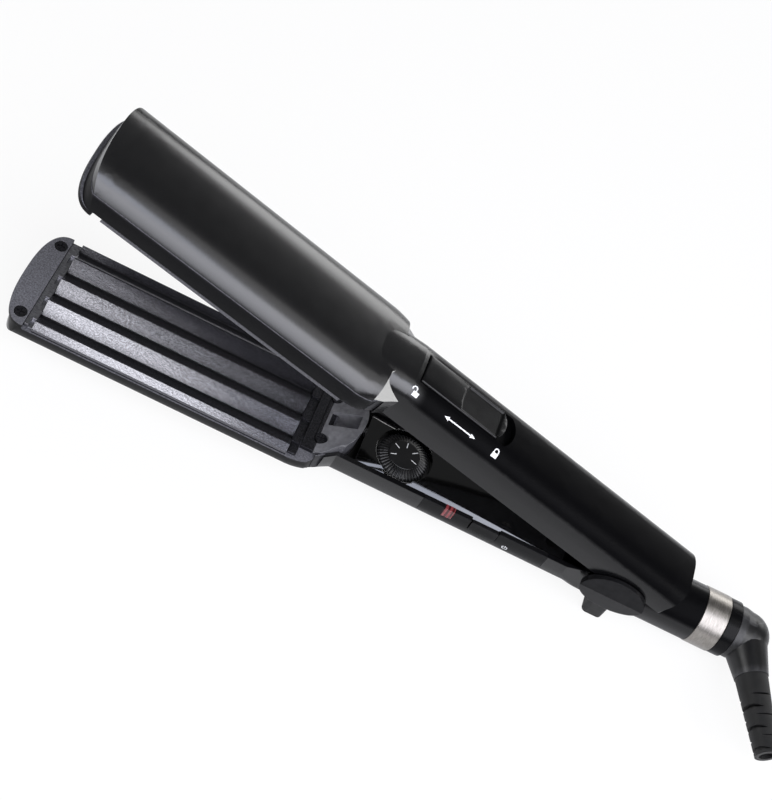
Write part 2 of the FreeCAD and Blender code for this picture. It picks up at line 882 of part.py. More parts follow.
def make_heater_leaf():
    top = below(plate_base_depth + seat_gap * 2 + heater_thickness)
    x0 = plate_front + leaf_inset
    length = plate_length - leaf_inset * 2
    low = top - leaf_rise
    half = leaf_half_width / 2
    points = []
    for y, z in ((-leaf_half_width, low), (-half, top), (half, top), (leaf_half_width, low)):
        points.append(Vector(x0, y, z))
    for y, z in ((leaf_half_width - leaf_thickness, low), (half - leaf_thickness, top - leaf_thickness),
                 (-half + leaf_thickness, top - leaf_thickness), (-leaf_half_width + leaf_thickness, low)):
        points.append(Vector(x0, y, z))
    return Part.Face(Part.makePolygon(points + points[:1])).extrude(Vector(length, 0, 0))


def make_heater_leads():
    z = lead_height()
    x = plate_back - heater_inset
    return Part.Compound(pair(rod(lead_radius, lead_length, x, lead_side, z, x_axis)))


def make_catch_ramp():
    front = -ramp_front
    back = front + ramp_length
    points = []
    for step in range(curve_steps + 1):
        turn = math.pi * step / curve_steps - math.pi / 2
        points.append(Vector(front + ramp_length * math.cos(turn), ramp_half_width * math.sin(turn), 0))
    points[0] = Vector(front, -ramp_half_width, 0)
    points[-1] = Vector(front, ramp_half_width, 0)
    curve = Part.BSplineCurve()
    curve.interpolate(points)
    wire = Part.Wire([curve.toShape(), Part.makeLine(points[-1], points[0])])
    plan = Part.Face(wire).extrude(Vector(0, 0, closing_height * 2))
    low = below(ramp_base)
    slope = (ramp_high + ramp_low) / ramp_length
    profile = []
    for x, z in ((front, low), (back + overrun, low),
                 (back + overrun, below(ramp_low) + slope * (ramp_length + overrun)), (front, below(ramp_low))):
        profile.append(Vector(x, -ramp_half_width - overrun, z))
    wedge = Part.Face(Part.makePolygon(profile + profile[:1]))
    wedge = wedge.extrude(Vector(0, ramp_half_width * 2 + overrun * 2, 0))
    seat = below(lip_depth + seat_gap) + bracket_sheet + seat_gap
    notch = block(front - overrun, plate_back + frame_tail + seat_gap, -ramp_half_width - overrun,
                  ramp_half_width + overrun, 0, seat)
    room = arm_solid(-1, lower_depth, -lower_end, wall + seat_gap)
    room = room.fuse(arm_solid(1, upper_depth, upper_end, wall + flange_gap))
    body = plan.common(wedge).cut(notch).common(room)
    slot = block(front + ramp_slot_front, back - ramp_rim, -ramp_slot_half, ramp_slot_half,
                 low + wall, closing_height * 2)
    window = block(front + ramp_slot_front, back + overrun, -ramp_slot_half, ramp_slot_half,
                   low + wall, below(-ramp_high) - ramp_rim_height)
    heads = pair(rod(screw_head_radius + screw_gap, closing_height, -hinge_to_plate + plate_length
                     + bracket_screw_place, bracket_screw_side, below(lip_depth), z_axis))
    return body.cut([slot, window] + heads)


def make_deck():
    half = inner_half - cover_gap
    x0 = -deck_front
    x1 = -deck_end
    edge = below(deck_edge_drop)
    crown = edge + deck_crown
    points = []
    for y, z in ((-half, edge), (-half + deck_flank, crown), (half - deck_flank, crown), (half, edge),
                 (half, edge - deck_thickness), (half - deck_flank, crown - deck_thickness),
                 (-half + deck_flank, crown - deck_thickness), (-half, edge - deck_thickness)):
        points.append(Vector(x0, y, z))
    wire = Part.makePolygon(points + points[:1])
    panel = bar(wire, x1 - x0)
    floor = dial_floor_top() - dial_floor
    cup_radius = dial_radius + dial_gap
    rim = crown - deck_thickness / 2
    cup = rod(cup_radius + dial_cup_wall, rim - floor, -dial_place, 0, floor, z_axis)
    cup = cup.common(block(x0, x1, -half, half, 0, closing_height))
    hole = rod(cup_radius, closing_height, -dial_place, 0, dial_floor_top(), z_axis)
    shaft = rod(shaft_radius + running_fit, closing_height, -dial_place, 0, 0, z_axis)
    return panel.fuse(cup).cut([hole, shaft])


def dial_floor_top():
    return below(dial_top + dial_height + dial_under)


def knurl_wire(radius, depth, z):
    points = []
    for count in range(knurls * 2):
        turn = math.pi * count / knurls
        reach = radius - depth * (count % 2)
        points.append(Vector(reach * math.cos(turn) - dial_place, reach * math.sin(turn), z))
    return Part.makePolygon(points + points[:1])


# knurled rim that slopes up to a raised flat face
def make_dial():
    z0 = below(dial_top + dial_height)
    z1 = below(dial_top)
    low = knurl_wire(dial_radius, knurl_depth, z0)
    side = knurl_wire(dial_radius, knurl_depth, z0 + dial_side)
    top = knurl_wire(dial_face_radius + knurl_depth, knurl_depth / 2, z1)
    rim = Part.makeLoft([low, side, top], True, True)
    face = rod(dial_face_radius, dial_face_rise, -dial_place, 0, z1, z_axis)
    shaft = rod(shaft_radius, shaft_length, -dial_place, 0, z0 - shaft_length, z_axis)
    return rim.fuse([face, shaft])


def make_potentiometer():
    z0 = below(board_top)
    z1 = dial_floor_top() - dial_floor - pot_lift
    body = block(-dial_place - pot_half, -dial_place + pot_half, -pot_half, pot_half, z0, z1)
    bore = rod(shaft_radius + running_fit, closing_height, -dial_place, 0, z0 + pot_lift, z_axis)
    return body.cut(bore)


def make_board():
    z1 = below(board_top)
    board = block(-board_front, -board_front + board_length, -board_half_width, board_half_width,
                  z1 - board_thickness, z1)
    chip_x = -chip_place
    chips = []
    for side in (-1, 1):
        y = side * chip_size / 2
        chips.append(block(chip_x - chip_size / 2, chip_x + chip_size / 2, y - chip_size / 3,
                           y + chip_size / 3, z1, z1 + chip_height))
    holes = []
    for place in handle_screw_places:
        holes.append(rod(screw_radius + screw_gap, closing_height, -place, 0, 0, z_axis))
    return board.fuse(chips).cut(holes)


def make_side_strip():
    strip = strip_block(0, 0).common(arm_solid(-1, lower_depth, -lower_end, 0))
    lens = lens_block(seat_gap / 2)
    button = block(-button_front - button_gap, -button_front + button_length + button_gap,
                   -handle_half_width - overrun, 0,
                   button_height() - button_half_height - button_gap,
                   button_height() + button_half_height + button_gap)
    return strip.cut([lens, button])


def button_height():
    return below(strip_top + button_half_height)


# the key bears on its switch below the deck's edge
def press_height():
    return below(strip_top + button_shelf + button_flange_half)


def lens_block(gap):
    return block(-lens_front - gap, -lens_front + lens_length + gap, -handle_half_width, -inner_half,
                 button_height() - button_half_height - gap, button_height() + button_half_height + gap)


def make_indicator_lens():
    return lens_block(0).common(arm_solid(-1, lower_depth, -lower_end, 0))


def make_indicator_led():
    x = -lens_front + lens_length / 2
    y = -inner_half + seat_gap
    bulb = rod(led_radius, led_length, x, y, press_height(), y_axis)
    leg = block(x - led_radius, x + led_radius, y + led_length / 2, y + led_length,
                below(board_top), press_height())
    return bulb.fuse(leg)


def make_power_button():
    y0 = -handle_half_width - button_proud
    x0 = -button_front
    x1 = x0 + button_length
    z = button_height()
    key = block(x0, x1, y0, y0 + button_skirt, z - button_half_height, z + button_half_height)
    ends = []
    for edge in key.Edges:
        box = edge.BoundBox
        if box.YLength > button_skirt / 2:
            ends.append(edge)
    key = key.makeFillet(button_corner, ends)
    skin = arm_wire(x0 - overrun, handle_half_width + button_proud, lower_depth + button_proud,
                    handle_power, -1, 0)
    key = key.common(bar(skin, button_length + overrun * 2))
    shelf = block(x0 - overrun, x1 + overrun, -handle_half_width + button_relief, 0,
                  z + button_half_height - button_shelf, z + button_half_height + overrun)
    key = key.cut(shelf)
    flange_y = -inner_half + button_gap
    flange = block(x0 - button_flange, x1 + button_flange, flange_y, flange_y + button_flange,
                   press_height() - button_flange_half, press_height() + button_flange_half)
    return key.fuse(flange)


def make_power_switch():
    x = -button_front + button_length / 2
    y = -inner_half + button_gap + button_flange + button_travel + switch_gap
    half = switch_size / 2
    return block(x - half, x + half, y, y + half, below(board_top), press_height() + half / 2)


def make_rest_foot():
    x0 = -foot_place - foot_length / 2
    bar_shape = block(x0, x0 + foot_length, -foot_half_width, foot_half_width, 0, foot_height)
    ends = []
    for edge in bar_shape.Edges:
        if edge.BoundBox.XLength < seat_gap and edge.BoundBox.ZLength < seat_gap:
            continue
        if edge.BoundBox.ZLength > foot_height / 2:
            ends.append(edge)
    bar_shape = bar_shape.makeFillet(overrun, ends)
    body = arm_solid(-1, lower_depth, -lower_end, 0).fuse(tail_profile(0, tail_end))
    return bar_shape.cut(body)


def make_front_foot():
    x0 = -front_foot_place - front_foot_length / 2
    z0 = below(lower_depth + front_foot_drop)
    pad = block(x0, x0 + front_foot_length, -front_foot_half_width, front_foot_half_width,
                z0, z0 + front_foot_bury)
    return pad.cut(arm_solid(-1, lower_depth, -lower_end, 0))


def make_hinge_pin():
    half = handle_half_width + cap_gap + cap_thickness / 2
    return rod(pin_radius, half * 2, 0, -half, hinge_height, y_axis)


# oval cap with a ridge along its length
def make_hinge_caps():
    y0 = handle_half_width + cap_gap
    oval = Part.Ellipse(Vector(0, 0, 0), cap_half_length, cap_half_height).toShape()
    oval.rotate(Vector(0, 0, 0), x_axis, 90)
    oval.translate(Vector(0, y0, hinge_height))
    cap = Part.Face(Part.Wire(oval)).extrude(Vector(0, cap_thickness, 0))
    points = []
    for y, z in ((y0, -cap_half_height), (y0 + cap_edge, -cap_half_height), (y0 + cap_thickness, 0),
                 (y0 + cap_edge, cap_half_height), (y0, cap_half_height)):
        points.append(Vector(-cap_half_length, y, hinge_height + z))
    roof = Part.Face(Part.makePolygon(points + points[:1])).extrude(Vector(cap_half_length * 2, 0, 0))
    hole = rod(pin_radius, cap_thickness / 2, 0, y0, hinge_height, y_axis)
    return Part.Compound(pair(cap.common(roof).cut(hole)))


def make_opening_spring():
    length = spring_turns * spring_wire * 2
    half = length / 2
    coil = rod(spring_radius + spring_wire, length, 0, -half, hinge_height, y_axis)
    coil = coil.cut(rod(spring_radius - spring_wire, length, 0, -half, hinge_height, y_axis))
    side = half - spring_wire
    leg = spring_wire * spring_leg_share
    low = rod(leg, spring_leg, -spring_leg, -side, hinge_height - spring_radius, x_axis)
    high = rod(leg, spring_leg, -spring_leg, side, hinge_height + spring_radius, x_axis)
    high.rotate(hinge_point, y_axis, open_angle)
    return coil.fuse([low, high])


def make_upper_cover():
    half = inner_half - cover_gap
    z0 = closing_height + cover_lift
    panel = block(-cover_front, -cover_end, -half, half, z0, z0 + cover_thickness)
    ribs = []
    for side in (-1, 1):
        y = side * cover_rib_side
        ribs.append(block(-cover_front + overrun, -cover_end - overrun, y - cover_thickness / 4,
                          y + cover_thickness / 4, z0 + cover_thickness, z0 + cover_thickness + cover_rib))
    holes = []
    for place in cover_screw_places:
        holes.append(rod(screw_radius + screw_gap, closing_height, -place, 0, closing_height, z_axis))
        holes.append(rod(screw_head_radius + screw_gap, screw_head + seat_gap, -place, 0, z0, z_axis))
    return panel.fuse(ribs).cut(holes)


def make_cover_screws():
    screws = []
    for place in cover_screw_places:
        screw = make_screw(-place, 0, below(cover_lift), screw_length)
        screws.append(turned_over(screw))
    return Part.Compound(screws)


def make_handle_screws():
    screws = []
    for place in handle_screw_places:
        top = handle_screw_sink
        screw = make_screw(-place, 0, 0, handle_screw_length)
        screw.rotate(Vector(-place, 0, 0), x_axis, 180)
        screw.translate(Vector(0, 0, below(lower_depth) + top - screw_head))
        screws.append(screw)
    return Part.Compound(screws)


def make_steel_band():
    outer = rod(tail_radius + band_proud, band_length - seat_gap * 2, tail_end + seat_gap, 0, tail_height, x_axis)
    inner = rod(spigot_radius + seat_gap, band_length * 2, tail_end - overrun, 0, tail_height, x_axis)
    return outer.cut(inner)


def make_tail_ring():
    x = tail_end + band_length
    ring = rod(tail_radius, ring_length, x, 0, tail_height, x_axis)
    hole = rod(trunnion_radius + running_fit, ring_length * 2, x - overrun, 0, tail_height, x_axis)
    return ring.cut(hole)


def elbow_start():
    return tail_end + band_length + ring_length + elbow_gap


def elbow_aim():
    turn = math.radians(elbow_angle)
    return Vector(math.cos(turn), -math.sin(turn), 0)


def make_swivel_elbow():
    start = elbow_start()
    centre = Vector(start + elbow_run, 0, tail_height)
    collar = rod(elbow_collar_radius, elbow_collar, start, 0, tail_height, x_axis)
    shoulder = Part.makeCone(elbow_collar_radius, elbow_ball_radius, elbow_run - elbow_collar,
                             Vector(start + elbow_collar, 0, tail_height), x_axis)
    ball = Part.makeSphere(elbow_ball_radius, centre)
    arm = Part.makeCone(elbow_neck_radius, elbow_end_radius, elbow_reach, centre, elbow_aim())
    flange_x = tail_end + band_length - flange_length - flange_gap
    trunnion = rod(trunnion_radius, start + elbow_collar - flange_x, flange_x, 0, tail_height, x_axis)
    flange = rod(flange_radius, flange_length, flange_x, 0, tail_height, x_axis)
    ahead = block(start, start + tail_end, -tail_end, tail_end, 0, closing_height * 2)
    body = ball.fuse(arm).common(ahead).fuse([collar, shoulder, trunnion, flange])
    socket = rod(slip_radius + seat_gap, flange_length + ring_length, flange_x, 0, tail_height, x_axis)
    end, aim = relief_start()
    bore = Part.makeCylinder(relief_end_radius, relief_lap, end - aim * relief_lap, aim)
    return body.cut([socket, bore])


def relief_start():
    aim = elbow_aim()
    return Vector(elbow_start() + elbow_run, 0, tail_height) + aim * elbow_reach, aim


def make_strain_relief():
    end, aim = relief_start()
    body = Part.makeCone(relief_radius, relief_end_radius, relief_length, end, aim)
    plug = Part.makeCylinder(relief_end_radius - seat_gap, relief_lap, end - aim * relief_lap, aim)
    body = body.fuse(plug)
    cuts = [Part.makeCylinder(cord_radius, relief_length + relief_lap * 2, end - aim * relief_lap, aim)]
    across = aim.cross(z_axis)
    for count in range(relief_slots):
        place = end + aim * (relief_first + count * relief_pitch)
        ring = Part.makeCylinder(relief_radius + overrun, relief_slot, place, aim)
        core = Part.makeCylinder(cord_radius + spigot_wall / 2, relief_slot, place, aim)
        key = z_axis if count % 2 else across
        half = relief_radius + overrun
        web = Part.makeBox(half * 2, relief_wall(), half * 2)
        web.translate(Vector(-half, -relief_wall() / 2, -half))
        web.Placement = FreeCAD.Placement(place, FreeCAD.Rotation(z_axis, key)).multiply(web.Placement)
        cuts.append(ring.cut([core, web]))
    return body.cut(cuts)


def relief_wall():
    return relief_slot * 2


def make_slip_rings():
    flange_x = tail_end + band_length - flange_length - flange_gap
    x1 = flange_x + flange_length
    x0 = x1 - slip_length
    core = rod(slip_radius, x1 - x0, x0, 0, tail_height, x_axis)
    rings = []
    for count in range(2):
        x = x0 + slip_ring_width + count * slip_ring_pitch
        rings.append(rod(slip_ring_radius, slip_ring_width, x, 0, tail_height, x_axis))
    return core.fuse(rings)


def make_brushes():
    flange_x = tail_end + band_length - flange_length - flange_gap
    x0 = flange_x + flange_length - slip_length
    brushes = []
    for count in range(2):
        x = x0 + slip_ring_width + count * slip_ring_pitch
        z0 = tail_height + slip_ring_radius + brush_gap
        bore = flange_radius + flange_gap
        rise = bore - slip_ring_radius - brush_gap
        leaf = block(x, x + slip_ring_width, -brush_width / 2, brush_width / 2, z0, z0 + rise)
        brushes.append(leaf.common(rod(bore, tail_end + band_length, 0, 0, tail_height, x_axis)))
    return Part.Compound(brushes)


# lower arm
head_frame = make_frame()
crimp_plate = make_plate()
front_comb = make_front_comb()
rear_bracket = make_rear_bracket()
nose_screws = make_nose_screws()
bracket_screws = make_bracket_screws()
heater = make_heater()
heater_leaf = make_heater_leaf()
heater_leads = make_heater_leads()
save("lower_shell", make_lower_shell())
save("lower_frame", head_frame)
save("lower_plate", crimp_plate)
save("lower_front_comb", front_comb)
save("lower_rear_bracket", rear_bracket)
save("lower_nose_screws", nose_screws)
save("lower_bracket_screws", bracket_screws)
save("lower_heater", heater)
save("lower_heater_leaf", heater_leaf)
save("lower_leads", heater_leads)
save("catch_ramp", make_catch_ramp())
save("deck", make_deck())
save("control_board", make_board())
save("potentiometer", make_potentiometer())
save("side_strip", make_side_strip())
save("indicator_lens", make_indicator_lens())
save("indicator_led", make_indicator_led())
save("power_switch", make_power_switch())
save("rest_foot", make_rest_foot())
save("front_foot", make_front_foot())
save("hinge_pin", make_hinge_pin())
save("hinge_caps", make_hinge_caps())
save("opening_spring", make_opening_spring())
save("handle_screws", make_handle_screws())
save("steel_band", make_steel_band())
save("tail_ring", make_tail_ring())
save("contact_brushes", make_brushes())

# controls and swivel
save("temperature_dial", make_dial())
save("power_button", make_power_button())
save("swivel_elbow", make_swivel_elbow())
save("strain_relief", make_strain_relief())
save("slip_rings", make_slip_rings())

# upper arm
save("upper_shell", swung(make_upper_shell()))
save("upper_frame", swung(turned_over(head_frame)))
save("upper_plate", swung(turned_over(crimp_plate)))
save("upper_front_comb", swung(turned_over(front_comb)))
save("upper_rear_bracket", swung(turned_over(rear_bracket)))
save("upper_nose_screws", swung(turned_over(nose_screws)))
save("upper_bracket_screws", swung(turned_over(bracket_screws)))
save("upper_heater", swung(turned_over(heater)))
save("upper_heater_leaf", swung(turned_over(heater_leaf)))
save("upper_leads", swung(turned_over(heater_leads)))
save("upper_cover", swung(make_upper_cover()))
save("cover_screws", swung(make_cover_screws()))
save("detent_spring", swung(make_detent_spring()))
save("lock_slider", swung(make_lock_slider()))
save("lock_hook", swung(make_lock_hook()))
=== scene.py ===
import bpy
import bmesh
import math
from mathutils import Matrix, Vector
from mathutils.bvhtree import BVHTree


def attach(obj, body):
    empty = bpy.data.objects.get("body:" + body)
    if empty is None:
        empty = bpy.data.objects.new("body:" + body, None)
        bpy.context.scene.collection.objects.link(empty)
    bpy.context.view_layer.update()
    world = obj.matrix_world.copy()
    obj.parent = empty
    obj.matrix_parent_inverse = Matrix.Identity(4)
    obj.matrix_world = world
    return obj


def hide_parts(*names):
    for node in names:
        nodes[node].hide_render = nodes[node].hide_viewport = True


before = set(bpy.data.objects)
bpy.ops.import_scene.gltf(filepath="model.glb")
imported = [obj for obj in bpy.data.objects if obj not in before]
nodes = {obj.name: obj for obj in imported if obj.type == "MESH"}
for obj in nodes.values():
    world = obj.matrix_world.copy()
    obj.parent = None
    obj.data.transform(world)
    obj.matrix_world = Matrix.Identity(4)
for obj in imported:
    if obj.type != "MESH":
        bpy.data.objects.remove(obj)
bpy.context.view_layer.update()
mm = 0.001


def hexColour(text):
    # sRGB hex to linear
    out = []
    for i in (0, 2, 4):
        v = int(text[i:i + 2], 16) / 255
        out.append(v / 12.92 if v <= 0.04045 else ((v + 0.055) / 1.055) ** 2.4)
    return (out[0], out[1], out[2], 1.0)


def addNode(tree, kind, settings=None, values=None, links=None):
    node = tree.nodes.new(kind)
    for key, value in (settings or {}).items():
        setattr(node, key, value)
    for key, value in (values or {}).items():
        node.inputs[key].default_value = value
    for key, source in (links or {}).items():
        tree.links.new(source, node.inputs[key])
    return node


def newMaterial(name):
    mat = bpy.data.materials.new(name)
    mat.use_nodes = True
    tree = mat.node_tree
    tree.nodes.clear()
    bsdf = addNode(tree, "ShaderNodeBsdfPrincipled")
    addNode(tree, "ShaderNodeOutputMaterial", links={"Surface": bsdf.outputs["BSDF"]})
    coord = addNode(tree, "ShaderNodeTexCoord")
    return mat, tree, bsdf, coord.outputs


def perMm(size):
    # texture scale for a feature of this size in mm
    return 1.0 / (size * mm)


# settings that many nodes share
mixColour = {"data_type": "RGBA"}  # its sockets: 0 share, 6 and 7 the colours, 2 out
smoothRange = {"interpolation_type": "SMOOTHSTEP"}
timesNode = {"operation": "MULTIPLY"}
timesAdd = {"operation": "MULTIPLY_ADD"}
noiseSpan = {"From Min": 0.3, "From Max": 0.7}  # noise seldom leaves this span
metalRelief = 0.4

# what all mouldings share: sizes in mm, spans of edge sharpness and of a face's upward lean
moulding = {"driftSize": 18, "thinShade": 1.35, "rubSize": 2.5, "hazeSize": 6, "sparkSize": 0.6,
            "sparkSpan": (0.35, 0.7), "edgeSpan": (0.52, 0.6), "landSpan": (0.85, 0.93),
            "relief": 0.35, "coatRough": 0.12, "edgeSamples": 4}


# gloss that changes over a shell: lacquer makes the head glossiest and thins down its sides,
# the handle's top is soft-touch and hardly mirrors, undersides keep a matt mould skin
def shellGloss(tree, bsdf, look, coord, facing, polish):
    zones = look["zones"]
    place = addNode(tree, "ShaderNodeSeparateXYZ", links={0: coord["Object"]})
    grip = addNode(tree, "ShaderNodeMapRange", smoothRange,
                   {"From Min": zones["grip"][0] * mm, "From Max": zones["grip"][1] * mm},
                   {"Value": place.outputs["X"]})
    top = addNode(tree, "ShaderNodeMapRange", smoothRange,
                  {"From Min": zones["top"][0], "From Max": zones["top"][1]}, {"Value": facing.outputs["Z"]})
    near = addNode(tree, "ShaderNodeMapRange", smoothRange,
                   {"From Min": zones["far"][0], "From Max": zones["far"][1]}, {"Value": facing.outputs["Y"]})
    soft = addNode(tree, "ShaderNodeMath", timesNode, None, {0: grip.outputs["Result"], 1: top.outputs["Result"]})
    soft = addNode(tree, "ShaderNodeMath", timesNode, None, {0: soft.outputs[0], 1: near.outputs["Result"]})
    lacquer = addNode(tree, "ShaderNodeMapRange", None,
                      {"From Min": zones["side"][0], "From Max": zones["side"][1],
                       "To Min": zones["sideShare"] * zones["headLevel"], "To Max": zones["headLevel"]},
                      {"Value": facing.outputs["Z"]})
    level = addNode(tree, "ShaderNodeMix", None, {3: look["level"]},
                    {0: grip.outputs["Result"], 2: lacquer.outputs["Result"]})
    level = addNode(tree, "ShaderNodeMix", None, {3: zones["softLevel"]}, {0: soft.outputs[0], 2: level.outputs[0]})
    under = addNode(tree, "ShaderNodeMapRange", smoothRange,
                    {"From Min": zones["under"][0], "From Max": zones["under"][1],
                     "To Min": 1.0, "To Max": zones["underShare"]}, {"Value": facing.outputs["Z"]})
    level = addNode(tree, "ShaderNodeMath", timesNode, None, {0: level.outputs[0], 1: under.outputs["Result"]})
    tree.links.new(level.outputs[0], bsdf.inputs["Specular IOR Level"])
    return addNode(tree, "ShaderNodeMath", timesAdd, {1: zones["softRough"]},
                   {0: soft.outputs[0], 2: polish.outputs["Result"]})


# injection-moulded plastics: slow colour drift, polish drift, tool grain and edges worn paler
def mouldedPlastic(look):
    mat, tree, bsdf, coord = newMaterial(look["name"])
    base, worn = hexColour(look["base"]), hexColour(look["worn"])
    thin = tuple(v * moulding["thinShade"] for v in base[:3]) + (1.0,)
    drift = addNode(tree, "ShaderNodeTexNoise", None, {"Scale": perMm(moulding["driftSize"])},
                    {"Vector": coord["Object"]})
    share = addNode(tree, "ShaderNodeMapRange", None, noiseSpan, {"Value": drift.outputs["Fac"]})
    body = addNode(tree, "ShaderNodeMix", mixColour, {6: base, 7: thin}, {0: share.outputs["Result"]})
    facing = addNode(tree, "ShaderNodeSeparateXYZ", links={0: coord["Normal"]})
    if "land" in look:
        # flat lands are spark-textured and paler than the polished sides
        lean = addNode(tree, "ShaderNodeMath", {"operation": "ABSOLUTE"}, None, {0: facing.outputs["Z"]})
        flat = addNode(tree, "ShaderNodeMapRange", None,
                       {"From Min": moulding["landSpan"][0], "From Max": moulding["landSpan"][1]},
                       {"Value": lean.outputs[0]})
        spark = addNode(tree, "ShaderNodeTexNoise", None, {"Scale": perMm(moulding["sparkSize"]), "Detail": 4.0},
                        {"Vector": coord["Object"]})
        share = addNode(tree, "ShaderNodeMapRange", None,
                        {"From Min": moulding["sparkSpan"][0], "From Max": moulding["sparkSpan"][1]},
                        {"Value": spark.outputs["Fac"]})
        speck = addNode(tree, "ShaderNodeMix", mixColour,
                        {6: hexColour(look["land"][0]), 7: hexColour(look["land"][1])},
                        {0: share.outputs["Result"]})
        body = addNode(tree, "ShaderNodeMix", mixColour, None,
                       {0: flat.outputs["Result"], 6: body.outputs[2], 7: speck.outputs[2]})
    geo = addNode(tree, "ShaderNodeNewGeometry")
    edge = addNode(tree, "ShaderNodeMapRange", None,
                   {"From Min": moulding["edgeSpan"][0], "From Max": moulding["edgeSpan"][1], "To Max": look["wear"]},
                   {"Value": geo.outputs["Pointiness"]})
    rub = addNode(tree, "ShaderNodeTexNoise", None, {"Scale": perMm(moulding["rubSize"]), "Detail": 3.0},
                  {"Vector": coord["Object"]})
    amount = addNode(tree, "ShaderNodeMath", timesNode, None, {0: edge.outputs["Result"], 1: rub.outputs["Fac"]})
    skin = addNode(tree, "ShaderNodeMix", mixColour, {7: worn}, {0: amount.outputs[0], 6: body.outputs[2]})
    tree.links.new(skin.outputs[2], bsdf.inputs["Base Color"])
    haze = addNode(tree, "ShaderNodeTexNoise", None, {"Scale": perMm(moulding["hazeSize"]), "Detail": 4.0},
                   {"Vector": coord["Object"]})
    polish = addNode(tree, "ShaderNodeMapRange", None, {"To Min": look["rough"][0], "To Max": look["rough"][1]},
                     {"Value": haze.outputs["Fac"]})
    bsdf.inputs["IOR"].default_value = look["ior"]
    bsdf.inputs["Specular IOR Level"].default_value = look["level"]
    bsdf.inputs["Coat Weight"].default_value = look.get("coat", 0.0)
    bsdf.inputs["Coat Roughness"].default_value = moulding["coatRough"]
    if "zones" in look:
        polish = shellGloss(tree, bsdf, look, coord, facing, polish)
    tree.links.new(polish.outputs[0], bsdf.inputs["Roughness"])
    grain = addNode(tree, "ShaderNodeTexNoise", None, {"Scale": perMm(look["grain"]), "Detail": 2.0},
                    {"Vector": coord["Object"]})
    bump = addNode(tree, "ShaderNodeBump", None, {"Strength": moulding["relief"], "Distance": look["depth"] * mm},
                   {"Height": grain.outputs["Fac"]})
    if "radius" in look:
        # the mould's small edge radius, for the nodes whose edges are left sharp
        soft = addNode(tree, "ShaderNodeBevel", {"samples": moulding["edgeSamples"]}, {"Radius": look["radius"] * mm})
        tree.links.new(soft.outputs[0], bump.inputs["Normal"])
    tree.links.new(bump.outputs["Normal"], bsdf.inputs["Normal"])
    return mat


# bare and blackened metals: a drawn or plated grain that sets tint, polish and relief together
def workedMetal(look):
    mat, tree, bsdf, coord = newMaterial(look["name"])
    place = addNode(tree, "ShaderNodeMapping", None, {"Scale": look["streak"]}, {"Vector": coord["Object"]})
    lines = addNode(tree, "ShaderNodeTexNoise", None, {"Scale": perMm(look["grain"]), "Detail": 4.0},
                    {"Vector": place.outputs[0]})
    share = addNode(tree, "ShaderNodeMapRange", None, noiseSpan, {"Value": lines.outputs["Fac"]})
    tint = addNode(tree, "ShaderNodeMix", mixColour, {6: hexColour(look["dark"]), 7: hexColour(look["base"])},
                   {0: share.outputs["Result"]})
    tree.links.new(tint.outputs[2], bsdf.inputs["Base Color"])
    bsdf.inputs["Metallic"].default_value = 1.0
    polish = addNode(tree, "ShaderNodeMapRange", None, {"To Min": look["rough"][0], "To Max": look["rough"][1]},
                     {"Value": lines.outputs["Fac"]})
    tree.links.new(polish.outputs["Result"], bsdf.inputs["Roughness"])
    bump = addNode(tree, "ShaderNodeBump", None, {"Strength": metalRelief, "Distance": look["depth"] * mm},
                   {"Height": lines.outputs["Fac"]})
    tree.links.new(bump.outputs["Normal"], bsdf.inputs["Normal"])
    return mat


# pieces with two near colours and a fine grain: fired alumina, woven glass, cast epoxy, printed ink
def grainedPiece(look):
    mat, tree, bsdf, coord = newMaterial(look["name"])
    grain = addNode(tree, "ShaderNodeTexNoise", None, {"Scale": perMm(look["grain"]), "Detail": 3.0},
                    {"Vector": coord["Object"]})
    share = addNode(tree, "ShaderNodeMapRange", None, noiseSpan, {"Value": grain.outputs["Fac"]})
    tint = addNode(tree, "ShaderNodeMix", mixColour, {6: hexColour(look["dark"]), 7: hexColour(look["base"])},
                   {0: share.outputs["Result"]})
    tree.links.new(tint.outputs[2], bsdf.inputs["Base Color"])
    polish = addNode(tree, "ShaderNodeMapRange", None, {"To Min": look["rough"][0], "To Max": look["rough"][1]},
                     {"Value": grain.outputs["Fac"]})
    tree.links.new(polish.outputs["Result"], bsdf.inputs["Roughness"])
    bsdf.inputs["IOR"].default_value = look["ior"]
    bump = addNode(tree, "ShaderNodeBump", None, {"Strength": metalRelief, "Distance": look["depth"] * mm},
                   {"Height": grain.outputs["Fac"]})
    tree.links.new(bump.outputs["Normal"], bsdf.inputs["Normal"])
    return mat


print("materials")
# grain, depth and radius in mm throughout
# ABS from a polished tool: deep black with clear, slightly soft reflections
glossAbs = mouldedPlastic({
    "name": "glossAbs", "base": "060607", "worn": "2c2c2e", "rough": (0.2, 0.26), "grain": 0.35, "depth": 0.001,
    "wear": 0.12, "level": 0.3, "ior": 1.54,
    # where the handle starts in x, then spans of the faces' upward and far lean
    "zones": {"grip": (-115, -107), "top": (0.28, 0.46), "far": (0.5, 0.2), "softLevel": 0.02, "softRough": 0.15,
              "headLevel": 0.75, "side": (0.42, 0.75), "sideShare": 0.4, "under": (-0.05, -0.35), "underShare": 0.2}})
# glass-filled nylon round the heat: dull black sides, spark-eroded grey lands
filledNylon = mouldedPlastic({
    "name": "filledNylon", "base": "0c0c0d", "worn": "5a5a5d", "rough": (0.36, 0.5), "grain": 0.3, "depth": 0.02,
    "wear": 0.5, "level": 0.08, "ior": 1.53, "land": ("4a4a4e", "727278"), "radius": 0.4})
# grey nylon of the catch: satin, with pale rubbed edges
satinNylon = mouldedPlastic({
    "name": "satinNylon", "base": "3c3c40", "worn": "9a9a9d", "rough": (0.36, 0.48), "grain": 0.3, "depth": 0.025,
    "wear": 0.8, "level": 0.5, "ior": 1.53, "radius": 0.4})
